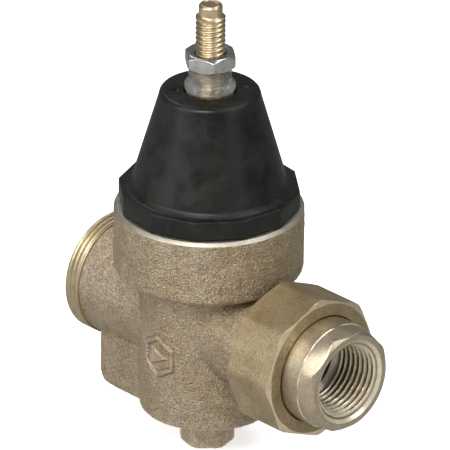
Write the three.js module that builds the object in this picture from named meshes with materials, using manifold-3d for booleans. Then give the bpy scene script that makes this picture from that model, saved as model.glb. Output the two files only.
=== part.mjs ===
// Water pressure regulator: direct-acting reducing valve with a cast bronze body, a moulded
// spring cage and a single union. Millimetres. +Z runs up the adjusting screw, +X runs along
// the flow axis towards the union, and the origin is the centre of the foot under the body.
import * as THREE from 'three';
import { mergeVertices } from 'three/addons/utils/BufferGeometryUtils.js';
import Module from 'manifold-3d';

const wasm = await Module();
wasm.setup();

// ---- driving dimensions -------------------------------------------------------------------
const GAP = 0.3;

// Facets round a full circle: the large outer skins, the usual pieces, and the small ones.
const SKIN_SIDES = 48;
const SIDES = 30;
const SMALL_SIDES = 20;

const FLOW_Z = 38.6;
const FOOT_R = 7.3;
const FOOT_CORNER_R = 7.85;
const FOOT_TURN = THREE.MathUtils.degToRad(-13.4);
const BARREL_R = 19.1;
const BARREL_Z = 11.3;
const HEAD_R = 26.6;
const HEAD_Z = 53.5;
const RIM_Z = 73.2;

const CAGE_THREAD_R = 23.8;
const LEDGE_Z = 62;
const CHAMBER_R = 19.5;
const CHAMBER_FLOOR_Z = 57.5;
const UPPER_BORE_R = 12;
const BRIDGE_TOP_Z = 31;
const BRIDGE_BOTTOM_Z = 27;
const BRIDGE_BORE_R = 10;
const LOWER_BORE_R = 13.5;
const LOWER_FLOOR_Z = 15.5;
const GUIDE_BORE_R = 4.2;
const GUIDE_FLOOR_Z = 4.5;

const PIPE_BORE_R = 9.25;
const PIPE_THREAD_R = 10.4;
const PIPE_MOUTH_R = 12.5;
const PIPE_THREAD_LENGTH = 13;
const FIXED_PORT_X = 40.2;
const UNION_THREAD_R = 17.5;
const UNION_THREAD_LENGTH = 5.3;
const FIXED_BOSS_R = 16.9;
const UNION_BOSS_R = 14.6;
const UNION_FACE_X = 38;

const WEB_HALF_WIDTH = 13;
const WEB_END_X = 34;
const WEB_CORNER_R = 6.5;
const WEB_BOTTOM_R = 9;
const RISER_X = 23;
const RISER_R = 7.5;
const LOWER_PASSAGE_R = 5;
const LOWER_PASSAGE_Z = 20.7;

const NUT_ACROSS_FLATS = 39;
const NUT_CORNER_R = 20.8;
const NUT_BACK_X = 28.9;
const NUT_CHAMFER_X = 45.1;
const NUT_FACE_R = 18.7;
const NUT_FACE_X = 45.75;
const NUT_LIP_X = 46;
const GASKET_R = 16.2;
const TAIL_FLANGE_R = 17.2;
const TAIL_BARREL_R = 15.3;
const TAIL_FLANGE_X = 40.2;
const TAIL_FLANGE_END_X = 43;
const TAIL_SHOULDER_X = 51.9;
const TAIL_SHOULDER_R = 15.1;
const TAIL_ACROSS_FLATS = 27.5;
const TAIL_END_X = 57.4;
const TAIL_END_R = 13.7;

const FLANGE_CORNER_R = 25.6;
const FLANGE_BOTTOM_Z = 73.5;
const FLANGE_TOP_Z = 79;
const FLANGE_SIDES = 12;
const FLANGE_TURN = THREE.MathUtils.degToRad(7.7);
const CONE_BASE_R = 21.9;
const CONE_TOP_R = 14.1;
const CAGE_TOP_Z = 108.4;
const CAGE_WALL = 2.9;
const CAGE_CROWN = 3.5;
const CAGE_HOLE_R = 7.3;
const SKIRT_BOTTOM_Z = 66.3;
const SKIRT_BORE_R = 20.8;

const INSERT_R = 9;
const INSERT_NECK_R = 7;
const INSERT_BOTTOM_Z = 101.5;
const SLEEVE_R = 6;
const SLEEVE_FLANGE_R = 7.15;
const SLEEVE_FLANGE_HEIGHT = 2;

const SCREW_R = 4;
const SCREW_TIP_R = 3.35;
const SCREW_BOTTOM_Z = 96.8;
const SCREW_THREAD_TOP_Z = 131;
const SCREW_TOP_Z = 134.5;
const SCREW_HOLE_R = SCREW_R + GAP;

const LOCK_NUT_ACROSS_FLATS = 13.2;
const LOCK_NUT_BOTTOM_Z = 115.5;
const LOCK_NUT_TOP_Z = 120;
const LOCK_NUT_TURN = THREE.MathUtils.degToRad(-35.4);

const BUTTON_NOSE_Z = 90;
const BUTTON_NOSE_R = 6.5;
const BUTTON_SEAT_Z = 93.5;
const BUTTON_R = 10.3;
const BUTTON_TOP_Z = 96.5;

const SPRING_R = 8.8;
const SPRING_WIRE_R = 1.5;
const SPRING_TURNS = 5;
const SPRING_BOTTOM_Z = 68.1;
const SPRING_TOP_Z = 91.6;

const STEM_R = 3.8;
const STEM_TAIL_R = 2.6;
const STEM_SHANK_R = 3.2;
const STEM_COLLAR_R = 5.5;
const STEM_BOTTOM_Z = 6.5;
const STEM_STEP_Z = 23;
const STEM_NECK_Z = 56;
const STEM_COLLAR_Z = 59.7;
const STEM_TOP_Z = 75;
const STEM_NUT_ACROSS_FLATS = 11;
const STEM_NUT_BOTTOM_Z = 68.8;
const STEM_NUT_TOP_Z = 73.8;

const DIAPHRAGM_Z = 62.3;
const DIAPHRAGM_THICKNESS = 1.6;
const DIAPHRAGM_R = 23.4;
const ROLL_START_R = 15.9;
const ROLL_INNER_R = 17.2;
const ROLL_OUTER_R = 18.2;
const ROLL_HEIGHT = 1.3;
const SLIP_RING_BORE_R = 20.1;
const SLIP_RING_TOP_Z = 66;
const PLATE_R = 15.3;
const PLATE_THICKNESS = 2;
const PLATE_HUB_R = 6.5;
const PLATE_HUB_TOP_Z = 68.5;
const WASHER_R = 14.5;

const SEAT_EDGE_Z = 26;
const SEAT_HOLE_R = 6.5;
const SEAT_LIP_R = 7.4;
const SEAT_NECK_R = 9.7;
const SEAT_FLANGE_R = 11.6;
const SEAT_TOP_Z = 33.4;
const SEAT_ORING_R = 10.9;
const SEAT_ORING_Z = 34.3;
const STEM_ORING_R = 3.45;
const STEM_ORING_Z = 8;
const ORING_SECTION_R = 0.5;

const HOLDER_R = 9;
const HOLDER_POCKET_R = 8.4;
const HOLDER_BOTTOM_Z = 17.7;
const HOLDER_POCKET_Z = 20.4;
const HOLDER_RIM_Z = 22;
const DISC_R = 8.1;
const DISC_TOP_Z = 22.7;
const DISC_NUT_ACROSS_FLATS = 8;
const DISC_NUT_BOTTOM_Z = 15.9;
const DISC_NUT_TOP_Z = 17.4;

const BUSHING_R = 3.9;
const BUSHING_BOTTOM_Z = 9;
const BUSHING_TOP_Z = 15.2;
const STRAINER_BORE_R = 12.4;
const STRAINER_R = 13.1;
const WINDOW_COUNT = 12;
const WINDOW_WIDTH = 2.6;
const WINDOW_HEIGHT = 7;

// ---- materials ----------------------------------------------------------------------------
const metal = (color, roughness) =>
  new THREE.MeshStandardMaterial({ color, roughness, metalness: 0.9 });
const soft = (color, roughness) =>
  new THREE.MeshStandardMaterial({ color, roughness, metalness: 0 });

const castBronze = metal(0x9d8f79, 0.6);
const satinBronze = metal(0x9a8a6c, 0.45);
const brass = metal(0xc2a77c, 0.25);
const steel = metal(0xb4b2ad, 0.25);
const blackPlastic = soft(0x2e2e2c, 0.45);
const nylon = soft(0xa39c8e, 0.4);
const rubber = soft(0x1c1c1c, 0.8);
const fibre = soft(0x5a4c3c, 0.8);

// ---- shape helpers ------------------------------------------------------------------------
const regulator = new THREE.Group();

// A closed geometry as a manifold solid, with shared vertices joined and slivers dropped.
function solid(geometry) {
  const bare = geometry.index ? geometry.toNonIndexed() : geometry.clone();
  bare.deleteAttribute('normal');
  bare.deleteAttribute('uv');
  const merged = mergeVertices(bare, 1e-5);
  const index = merged.index.array;
  const kept = [];
  for (let i = 0; i < index.length; i += 3) {
    const [a, b, c] = [index[i], index[i + 1], index[i + 2]];
    if (a !== b && b !== c && c !== a) {
      kept.push(a, b, c);
    }
  }
  const vertProperties = Float32Array.from(merged.attributes.position.array);
  const triVerts = Uint32Array.from(kept);
  return new wasm.Manifold(new wasm.Mesh({ numProp: 3, vertProperties, triVerts }));
}

// The geometry of a manifold solid.
function surface(shape) {
  const mesh = shape.getMesh();
  const geometry = new THREE.BufferGeometry();
  geometry.setAttribute('position', new THREE.BufferAttribute(mesh.vertProperties, 3));
  geometry.setIndex(new THREE.BufferAttribute(mesh.triVerts, 1));
  geometry.computeVertexNormals();
  return geometry;
}

// A profile of [radius, height] points, starting and ending on the axis, turned about Z.
function turnedZ(profile, sides = SIDES) {
  const points = profile.map(([radius, height]) => new THREE.Vector2(radius, height));
  const geometry = new THREE.LatheGeometry(points, sides);
  geometry.rotateX(Math.PI / 2);
  return geometry;
}

// The same profile turned about the flow axis, with its heights running along X.
function turnedX(profile, sides = SIDES) {
  const points = profile.map(([radius, height]) => new THREE.Vector2(radius, height));
  const geometry = new THREE.LatheGeometry(points, sides);
  geometry.rotateZ(-Math.PI / 2);
  geometry.translate(0, 0, FLOW_Z);
  return geometry;
}

// A ring with a closed profile: inner and outer radius between two heights.
function ringProfile(inner, outer, low, high) {
  return [[inner, low], [outer, low], [outer, high], [inner, high], [inner, low]];
}

function rodProfile(radius, low, high) {
  return [[0, low], [radius, low], [radius, high], [0, high]];
}

function rodZ(radius, low, high, sides = SIDES) {
  return solid(turnedZ(rodProfile(radius, low, high), sides));
}

function rodX(radius, low, high, sides = SIDES) {
  return solid(turnedX(rodProfile(radius, low, high), sides));
}

// A regular polygon with a corner at the angle turn.
function polygon(sides, cornerRadius, turn = 0) {
  const shape = new THREE.Shape();
  for (let i = 0; i < sides; i++) {
    const angle = turn + (i / sides) * 2 * Math.PI;
    const x = cornerRadius * Math.cos(angle);
    const y = cornerRadius * Math.sin(angle);
    if (i === 0) {
      shape.moveTo(x, y);
    } else {
      shape.lineTo(x, y);
    }
  }
  shape.closePath();
  return shape;
}

function prismZ(shape, low, high) {
  const geometry = new THREE.ExtrudeGeometry(shape, { depth: high - low, bevelEnabled: false });
  geometry.translate(0, 0, low);
  return solid(geometry);
}

// A prism that runs along the flow axis; the shape's second axis points up.
function prismX(shape, low, high) {
  const geometry = new THREE.ExtrudeGeometry(shape, { depth: high - low, bevelEnabled: false });
  geometry.rotateX(Math.PI / 2);
  geometry.rotateZ(Math.PI / 2);
  geometry.translate(low, 0, FLOW_Z);
  return solid(geometry);
}

const cornerRadiusOf = (acrossFlats, sides) => acrossFlats / 2 / Math.cos(Math.PI / sides);

function add(name, geometry, material) {
  const mesh = new THREE.Mesh(geometry, material);
  mesh.name = name;
  regulator.add(mesh);
}

// ---- valve body ---------------------------------------------------------------------------
function foot() {
  const outline = polygon(6, FOOT_CORNER_R, FOOT_TURN);
  const turned = turnedZ([
    [0, 0],
    [FOOT_R - 0.5, 0],
    [FOOT_R, 0.6],
    [FOOT_R, BARREL_Z + 2],
    [0, BARREL_Z + 2],
  ]);
  return prismZ(outline, 0, BARREL_Z + 2).intersect(solid(turned));
}

function barrelAndHead() {
  return solid(turnedZ([
    [0, BARREL_Z],
    [BARREL_R - 2, BARREL_Z],
    [BARREL_R - 0.6, BARREL_Z + 0.6],
    [BARREL_R, BARREL_Z + 2],
    [BARREL_R, HEAD_Z],
    [HEAD_R - 2.5, HEAD_Z],
    [HEAD_R - 0.7, HEAD_Z + 0.7],
    [HEAD_R, HEAD_Z + 2.5],
    [HEAD_R, RIM_Z],
    [0, RIM_Z],
  ], SKIN_SIDES));
}

// The side outline of the web under the fixed port, extruded across the body, with its two
// upright end corners rounded by a second outline seen from above.
function web() {
  const bottomX = WEB_BOTTOM_R - WEB_END_X;
  const side = new THREE.Shape();
  side.moveTo(0, BARREL_Z);
  side.lineTo(bottomX, BARREL_Z);
  side.absarc(bottomX, BARREL_Z + WEB_BOTTOM_R, WEB_BOTTOM_R, -Math.PI / 2, -Math.PI, true);
  side.lineTo(-WEB_END_X, FLOW_Z);
  side.lineTo(0, FLOW_Z);
  side.closePath();
  const across = new THREE.ExtrudeGeometry(side, {
    depth: 2 * WEB_HALF_WIDTH, bevelEnabled: false, curveSegments: 8,
  });
  across.rotateX(Math.PI / 2);
  across.translate(0, WEB_HALF_WIDTH, 0);

  const plan = new THREE.Shape();
  const cornerX = WEB_CORNER_R - WEB_END_X;
  const cornerY = WEB_HALF_WIDTH - WEB_CORNER_R;
  plan.moveTo(0, -WEB_HALF_WIDTH);
  plan.lineTo(0, WEB_HALF_WIDTH);
  plan.lineTo(cornerX, WEB_HALF_WIDTH);
  plan.absarc(cornerX, cornerY, WEB_CORNER_R, Math.PI / 2, Math.PI, false);
  plan.absarc(cornerX, -cornerY, WEB_CORNER_R, Math.PI, 1.5 * Math.PI, false);
  plan.closePath();
  const upright = new THREE.ExtrudeGeometry(plan, {
    depth: FLOW_Z, bevelEnabled: false, curveSegments: 8,
  });
  return solid(across).intersect(solid(upright));
}

function fixedPort() {
  const threadStart = FIXED_PORT_X - UNION_THREAD_LENGTH;
  const boss = rodX(FIXED_BOSS_R, -threadStart, 0);
  const collar = turnedX([
    [0, -FIXED_PORT_X],
    [UNION_THREAD_R - 0.3, -FIXED_PORT_X],
    [UNION_THREAD_R, 0.3 - FIXED_PORT_X],
    [UNION_THREAD_R, -threadStart],
    [0, -threadStart],
  ]);
  return boss.add(solid(collar));
}

function unionPort() {
  const threadStart = NUT_BACK_X + 0.6;
  const boss = rodX(UNION_BOSS_R, 0, threadStart);
  const collar = turnedX([
    [0, threadStart],
    [UNION_THREAD_R - 0.9, threadStart],
    [UNION_THREAD_R, threadStart + 0.9],
    [UNION_THREAD_R, UNION_FACE_X - 0.9],
    [UNION_THREAD_R - 0.9, UNION_FACE_X],
    [0, UNION_FACE_X],
  ]);
  return boss.add(solid(collar));
}

// A female pipe bore about the flow axis: countersunk mouth, tapped length, plain bore.
function pipeBoreProfile(mouthX, endX) {
  const inward = Math.sign(endX - mouthX);
  const threadX = mouthX + inward * (PIPE_MOUTH_R - PIPE_THREAD_R);
  const plainX = mouthX + inward * PIPE_THREAD_LENGTH;
  const profile = [
    [0, mouthX - inward],
    [PIPE_MOUTH_R + 1, mouthX - inward],
    [PIPE_THREAD_R, threadX],
    [PIPE_THREAD_R - 0.5, plainX],
    [PIPE_BORE_R, plainX + inward * 0.4],
    [PIPE_BORE_R, endX],
    [0, endX],
  ];
  return inward > 0 ? profile : profile.reverse();
}

function bodyCavities() {
  const centre = turnedZ([
    [0, GUIDE_FLOOR_Z],
    [GUIDE_BORE_R, GUIDE_FLOOR_Z],
    [GUIDE_BORE_R, LOWER_FLOOR_Z],
    [LOWER_BORE_R, LOWER_FLOOR_Z],
    [LOWER_BORE_R, BRIDGE_BOTTOM_Z],
    [BRIDGE_BORE_R, BRIDGE_BOTTOM_Z],
    [BRIDGE_BORE_R, BRIDGE_TOP_Z],
    [UPPER_BORE_R, BRIDGE_TOP_Z],
    [UPPER_BORE_R, CHAMBER_FLOOR_Z],
    [CHAMBER_R, CHAMBER_FLOOR_Z + 1],
    [CHAMBER_R, LEDGE_Z],
    [CAGE_THREAD_R, LEDGE_Z],
    [CAGE_THREAD_R, RIM_Z + 1],
    [0, RIM_Z + 1],
  ]);
  const outlet = rodX(PIPE_BORE_R, 0, UNION_FACE_X + 1);
  const inlet = solid(turnedX(pipeBoreProfile(-FIXED_PORT_X, 5 - RISER_X)));
  const riser = rodZ(RISER_R, LOWER_PASSAGE_Z, FLOW_Z, SMALL_SIDES).translate([-RISER_X, 0, 0]);
  const passage = rodX(LOWER_PASSAGE_R, -RISER_X - 4, 0, SMALL_SIDES)
    .translate([0, 0, LOWER_PASSAGE_Z - FLOW_Z]);
  return solid(centre).add(outlet).add(inlet).add(riser).add(passage);
}

function valveBody() {
  const outside = barrelAndHead().add(foot()).add(web()).add(fixedPort()).add(unionPort());
  return surface(outside.subtract(bodyCavities()));
}

// ---- spring cage and what is fixed in it --------------------------------------------------
function springCage() {
  const cone = solid(turnedZ([
    [0, FLANGE_BOTTOM_Z],
    [CONE_BASE_R, FLANGE_BOTTOM_Z],
    [CONE_BASE_R + 0.9, FLANGE_TOP_Z],
    [CONE_BASE_R, FLANGE_TOP_Z + 1],
    [CONE_TOP_R, CAGE_TOP_Z - 1.2],
    [CONE_TOP_R - 0.4, CAGE_TOP_Z - 0.3],
    [CONE_TOP_R - 1.3, CAGE_TOP_Z],
    [0, CAGE_TOP_Z],
  ]));
  const outline = polygon(FLANGE_SIDES, FLANGE_CORNER_R, FLANGE_TURN);
  const flange = prismZ(outline, FLANGE_BOTTOM_Z, FLANGE_TOP_Z);
  const skirt = rodZ(CAGE_THREAD_R - GAP, SKIRT_BOTTOM_Z, FLANGE_BOTTOM_Z + 1);
  const inside = solid(turnedZ([
    [0, SKIRT_BOTTOM_Z - 1],
    [SKIRT_BORE_R, SKIRT_BOTTOM_Z - 1],
    [SKIRT_BORE_R, FLANGE_BOTTOM_Z],
    [CONE_BASE_R - CAGE_WALL, FLANGE_TOP_Z],
    [CONE_TOP_R - CAGE_WALL + 0.5, CAGE_TOP_Z - CAGE_CROWN],
    [CAGE_HOLE_R, CAGE_TOP_Z - CAGE_CROWN],
    [CAGE_HOLE_R, CAGE_TOP_Z + 1],
    [0, CAGE_TOP_Z + 1],
  ]));
  return surface(cone.add(flange).add(skirt).subtract(inside));
}

function cageThreadInsert() {
  const flangeTop = CAGE_TOP_Z - CAGE_CROWN - GAP;
  return turnedZ([
    [SCREW_HOLE_R, INSERT_BOTTOM_Z],
    [INSERT_R, INSERT_BOTTOM_Z],
    [INSERT_R, flangeTop],
    [INSERT_NECK_R, flangeTop],
    [INSERT_NECK_R, CAGE_TOP_Z - 0.4],
    [SCREW_HOLE_R, CAGE_TOP_Z - 0.4],
    [SCREW_HOLE_R, INSERT_BOTTOM_Z],
  ], SMALL_SIDES);
}

function sealSleeve() {
  const bottom = CAGE_TOP_Z + GAP;
  const flangeTop = bottom + SLEEVE_FLANGE_HEIGHT;
  const top = LOCK_NUT_BOTTOM_Z - GAP;
  return turnedZ([
    [SCREW_HOLE_R, bottom],
    [SLEEVE_FLANGE_R - 0.35, bottom],
    [SLEEVE_FLANGE_R, bottom + 0.4],
    [SLEEVE_FLANGE_R, flangeTop - 0.4],
    [SLEEVE_FLANGE_R - 0.35, flangeTop],
    [SLEEVE_R, flangeTop + 0.4],
    [SLEEVE_R, top],
    [SCREW_HOLE_R, top],
    [SCREW_HOLE_R, bottom],
  ], SMALL_SIDES);
}

// A hexagon nut about Z: a prism with both ends turned down at the corners.
function hexNut(acrossFlats, low, high, holeRadius, turn = 0) {
  const corner = cornerRadiusOf(acrossFlats, 6);
  const flat = acrossFlats / 2 - 0.2;
  const slope = (corner + 0.1 - flat) * Math.tan(Math.PI / 6);
  const turned = solid(turnedZ([
    [holeRadius, low],
    [flat, low],
    [corner + 0.1, low + slope],
    [corner + 0.1, high - slope],
    [flat, high],
    [holeRadius, high],
    [holeRadius, low],
  ], SMALL_SIDES));
  return surface(prismZ(polygon(6, corner, turn), low, high).intersect(turned));
}

function lockNut() {
  const flats = LOCK_NUT_ACROSS_FLATS;
  return hexNut(flats, LOCK_NUT_BOTTOM_Z, LOCK_NUT_TOP_Z, SCREW_HOLE_R, LOCK_NUT_TURN);
}

function stemNut() {
  return hexNut(STEM_NUT_ACROSS_FLATS, STEM_NUT_BOTTOM_Z, STEM_NUT_TOP_Z, STEM_SHANK_R + GAP);
}

function discNut() {
  return hexNut(DISC_NUT_ACROSS_FLATS, DISC_NUT_BOTTOM_Z, DISC_NUT_TOP_Z, STEM_TAIL_R + GAP);
}

function adjustingScrew() {
  return turnedZ([
    [0, SCREW_BOTTOM_Z],
    [SCREW_TIP_R, SCREW_BOTTOM_Z],
    [SCREW_R, SCREW_BOTTOM_Z + 1],
    [SCREW_R, SCREW_THREAD_TOP_Z - 0.7],
    [SCREW_TIP_R, SCREW_THREAD_TOP_Z],
    [SCREW_TIP_R, SCREW_TOP_Z - 0.6],
    [SCREW_TIP_R - 0.6, SCREW_TOP_Z],
    [0, SCREW_TOP_Z],
  ], SMALL_SIDES);
}

function springButton() {
  return turnedZ([
    [0, BUTTON_NOSE_Z],
    [BUTTON_NOSE_R - 0.6, BUTTON_NOSE_Z],
    [BUTTON_NOSE_R, BUTTON_NOSE_Z + 0.8],
    [BUTTON_NOSE_R, BUTTON_SEAT_Z],
    [BUTTON_R, BUTTON_SEAT_Z],
    [BUTTON_R, BUTTON_TOP_Z - 0.9],
    [BUTTON_R - 0.9, BUTTON_TOP_Z],
    [0, BUTTON_TOP_Z],
  ], SMALL_SIDES);
}

// The centre line of the range spring's wire.
class Helix extends THREE.Curve {
  getPoint(t, target = new THREE.Vector3()) {
    const angle = t * SPRING_TURNS * 2 * Math.PI;
    const height = THREE.MathUtils.lerp(SPRING_BOTTOM_Z, SPRING_TOP_Z, t);
    return target.set(SPRING_R * Math.cos(angle), SPRING_R * Math.sin(angle), height);
  }
}

function rangeSpring() {
  return new THREE.ExtrudeGeometry(polygon(6, SPRING_WIRE_R), {
    steps: SPRING_TURNS * 16,
    extrudePath: new Helix(),
    bevelEnabled: false,
  });
}

// ---- diaphragm and valve train ------------------------------------------------------------
function diaphragm() {
  const top = DIAPHRAGM_Z + DIAPHRAGM_THICKNESS;
  return turnedZ([
    [STEM_SHANK_R + GAP, DIAPHRAGM_Z],
    [ROLL_START_R, DIAPHRAGM_Z],
    [ROLL_INNER_R, DIAPHRAGM_Z + ROLL_HEIGHT],
    [ROLL_OUTER_R, DIAPHRAGM_Z + ROLL_HEIGHT],
    [CHAMBER_R, DIAPHRAGM_Z],
    [DIAPHRAGM_R, DIAPHRAGM_Z],
    [DIAPHRAGM_R, top],
    [CHAMBER_R - 0.4, top],
    [ROLL_OUTER_R + 0.1, top + ROLL_HEIGHT],
    [ROLL_INNER_R - 0.1, top + ROLL_HEIGHT],
    [ROLL_START_R + 0.2, top],
    [STEM_SHANK_R + GAP, top],
    [STEM_SHANK_R + GAP, DIAPHRAGM_Z],
  ]);
}

function slipRing() {
  const bottom = DIAPHRAGM_Z + DIAPHRAGM_THICKNESS + GAP;
  return turnedZ(ringProfile(SLIP_RING_BORE_R, DIAPHRAGM_R, bottom, SLIP_RING_TOP_Z));
}

function diaphragmPlate() {
  const bottom = DIAPHRAGM_Z + DIAPHRAGM_THICKNESS + GAP;
  const top = bottom + PLATE_THICKNESS;
  return turnedZ([
    [STEM_SHANK_R + GAP, bottom],
    [PLATE_R, bottom],
    [PLATE_R, top],
    [PLATE_HUB_R, top],
    [PLATE_HUB_R, PLATE_HUB_TOP_Z],
    [STEM_SHANK_R + GAP, PLATE_HUB_TOP_Z],
    [STEM_SHANK_R + GAP, bottom],
  ]);
}

function diaphragmWasher() {
  return turnedZ(ringProfile(STEM_SHANK_R + GAP, WASHER_R, STEM_COLLAR_Z + GAP, DIAPHRAGM_Z - GAP));
}

function valveStem() {
  return turnedZ([
    [0, STEM_BOTTOM_Z],
    [STEM_TAIL_R - 0.6, STEM_BOTTOM_Z],
    [STEM_TAIL_R, STEM_BOTTOM_Z + 0.7],
    [STEM_TAIL_R, STEM_STEP_Z],
    [STEM_R, STEM_STEP_Z],
    [STEM_R, STEM_NECK_Z],
    [STEM_COLLAR_R, STEM_NECK_Z + 1],
    [STEM_COLLAR_R, STEM_COLLAR_Z],
    [STEM_SHANK_R, STEM_COLLAR_Z],
    [STEM_SHANK_R, STEM_TOP_Z - 0.6],
    [STEM_SHANK_R - 0.6, STEM_TOP_Z],
    [0, STEM_TOP_Z],
  ], SMALL_SIDES);
}

function seatRing() {
  return turnedZ([
    [SEAT_HOLE_R, SEAT_EDGE_Z],
    [SEAT_LIP_R, SEAT_EDGE_Z],
    [SEAT_LIP_R + 0.6, BRIDGE_BOTTOM_Z],
    [SEAT_NECK_R, BRIDGE_BOTTOM_Z],
    [SEAT_NECK_R, BRIDGE_TOP_Z + GAP],
    [SEAT_FLANGE_R, BRIDGE_TOP_Z + GAP],
    [SEAT_FLANGE_R, SEAT_TOP_Z],
    [SEAT_HOLE_R + 0.9, SEAT_TOP_Z],
    [SEAT_HOLE_R, SEAT_TOP_Z - 1],
    [SEAT_HOLE_R, SEAT_EDGE_Z],
  ], SMALL_SIDES);
}

// An O-ring of round section about Z.
function oRing(meanRadius, height) {
  const geometry = new THREE.TorusGeometry(meanRadius, ORING_SECTION_R, 6, SMALL_SIDES);
  geometry.translate(0, 0, height);
  return geometry;
}

function discHolder() {
  return turnedZ([
    [STEM_TAIL_R + GAP, HOLDER_BOTTOM_Z],
    [HOLDER_R - 1.2, HOLDER_BOTTOM_Z],
    [HOLDER_R, HOLDER_BOTTOM_Z + 1],
    [HOLDER_R, HOLDER_RIM_Z],
    [HOLDER_POCKET_R, HOLDER_RIM_Z],
    [HOLDER_POCKET_R, HOLDER_POCKET_Z],
    [STEM_TAIL_R + GAP, HOLDER_POCKET_Z],
    [STEM_TAIL_R + GAP, HOLDER_BOTTOM_Z],
  ], SMALL_SIDES);
}

function seatDisc() {
  return turnedZ(ringProfile(STEM_TAIL_R + GAP, DISC_R, HOLDER_POCKET_Z + GAP, DISC_TOP_Z), SMALL_SIDES);
}

// The strainer: a thin cup wall around the disc with a band of windows round its middle.
function strainerScreen() {
  const low = LOWER_FLOOR_Z + GAP;
  const high = BRIDGE_BOTTOM_Z - GAP;
  let screen = solid(turnedZ(ringProfile(STRAINER_BORE_R, STRAINER_R, low, high)));
  for (let i = 0; i < WINDOW_COUNT; i++) {
    const window = new THREE.BoxGeometry(4, WINDOW_WIDTH, WINDOW_HEIGHT);
    window.translate(STRAINER_R, 0, (low + high) / 2);
    window.rotateZ((i / WINDOW_COUNT) * 2 * Math.PI);
    screen = screen.subtract(solid(window));
  }
  return surface(screen);
}

function guideBushing() {
  return turnedZ(ringProfile(STEM_TAIL_R + GAP, BUSHING_R, BUSHING_BOTTOM_Z, BUSHING_TOP_Z), SMALL_SIDES);
}

// ---- union --------------------------------------------------------------------------------
function unionGasket() {
  return turnedX(ringProfile(PIPE_BORE_R + 0.4, GASKET_R, UNION_FACE_X + GAP, TAIL_FLANGE_X - GAP));
}

// The barrel is round as far as its shoulder, then drawn in to an octagon at the end.
function unionTailpiece() {
  const barrel = solid(turnedX([
    [0, TAIL_FLANGE_X],
    [TAIL_FLANGE_R, TAIL_FLANGE_X],
    [TAIL_FLANGE_R, TAIL_FLANGE_END_X],
    [TAIL_BARREL_R, TAIL_FLANGE_END_X],
    [TAIL_BARREL_R, TAIL_SHOULDER_X],
    [0, TAIL_SHOULDER_X],
  ], SKIN_SIDES));
  const octagon = polygon(8, cornerRadiusOf(TAIL_ACROSS_FLATS, 8), Math.PI / 8);
  const shoulder = rodX(TAIL_SHOULDER_R, TAIL_SHOULDER_X - 0.1, TAIL_SHOULDER_X, SKIN_SIDES);
  const drawn = shoulder.add(prismX(octagon, TAIL_END_X - 0.1, TAIL_END_X)).hull();
  const chamfer = solid(turnedX([
    [0, TAIL_SHOULDER_X - 1],
    [TAIL_BARREL_R + 1, TAIL_SHOULDER_X - 1],
    [TAIL_BARREL_R + 1, TAIL_END_X + TAIL_END_R - TAIL_BARREL_R - 1],
    [TAIL_END_R, TAIL_END_X],
    [0, TAIL_END_X],
  ], SKIN_SIDES));
  const bore = solid(turnedX(pipeBoreProfile(TAIL_END_X, TAIL_FLANGE_X - 1)));
  return surface(barrel.add(drawn.intersect(chamfer)).subtract(bore));
}

function unionNut() {
  const octagon = polygon(8, cornerRadiusOf(NUT_ACROSS_FLATS, 8), Math.PI / 2);
  const turned = solid(turnedX([
    [UNION_THREAD_R + GAP, NUT_BACK_X],
    [NUT_CORNER_R - 1.2, NUT_BACK_X],
    [NUT_CORNER_R, NUT_BACK_X + 0.9],
    [NUT_CORNER_R, NUT_CHAMFER_X],
    [NUT_FACE_R, NUT_FACE_X],
    [TAIL_BARREL_R + GAP, NUT_LIP_X],
    [TAIL_BARREL_R + GAP, TAIL_FLANGE_END_X + GAP],
    [UNION_THREAD_R + GAP, TAIL_FLANGE_END_X + GAP],
    [UNION_THREAD_R + GAP, NUT_BACK_X],
  ], SKIN_SIDES));
  return surface(prismX(octagon, NUT_BACK_X, NUT_LIP_X).intersect(turned));
}

// ---- assembly -----------------------------------------------------------------------------
add('valve_body', valveBody(), castBronze);
add('spring_cage', springCage(), blackPlastic);
add('cage_thread_insert', cageThreadInsert(), brass);
add('seal_sleeve', sealSleeve(), nylon);
add('lock_nut', lockNut(), steel);
add('adjusting_screw', adjustingScrew(), brass);
add('spring_button', springButton(), steel);
add('range_spring', rangeSpring(), steel);
add('slip_ring', slipRing(), fibre);
add('diaphragm', diaphragm(), rubber);
add('diaphragm_plate', diaphragmPlate(), steel);
add('diaphragm_washer', diaphragmWasher(), brass);
add('stem_nut', stemNut(), steel);
add('valve_stem', valveStem(), brass);
add('seat_ring', seatRing(), steel);
add('seat_oring', oRing(SEAT_ORING_R, SEAT_ORING_Z), rubber);
add('disc_holder', discHolder(), brass);
add('seat_disc', seatDisc(), rubber);
add('disc_nut', discNut(), steel);
add('strainer_screen', strainerScreen(), steel);
add('guide_bushing', guideBushing(), nylon);
add('stem_oring', oRing(STEM_ORING_R, STEM_ORING_Z), rubber);
add('union_gasket', unionGasket(), fibre);
add('union_tailpiece', unionTailpiece(), satinBronze);
add('union_nut', unionNut(), satinBronze);

export default regulator;
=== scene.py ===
import math

import bmesh
import bpy
import numpy as np
from mathutils import Matrix, Vector, noise


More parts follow.
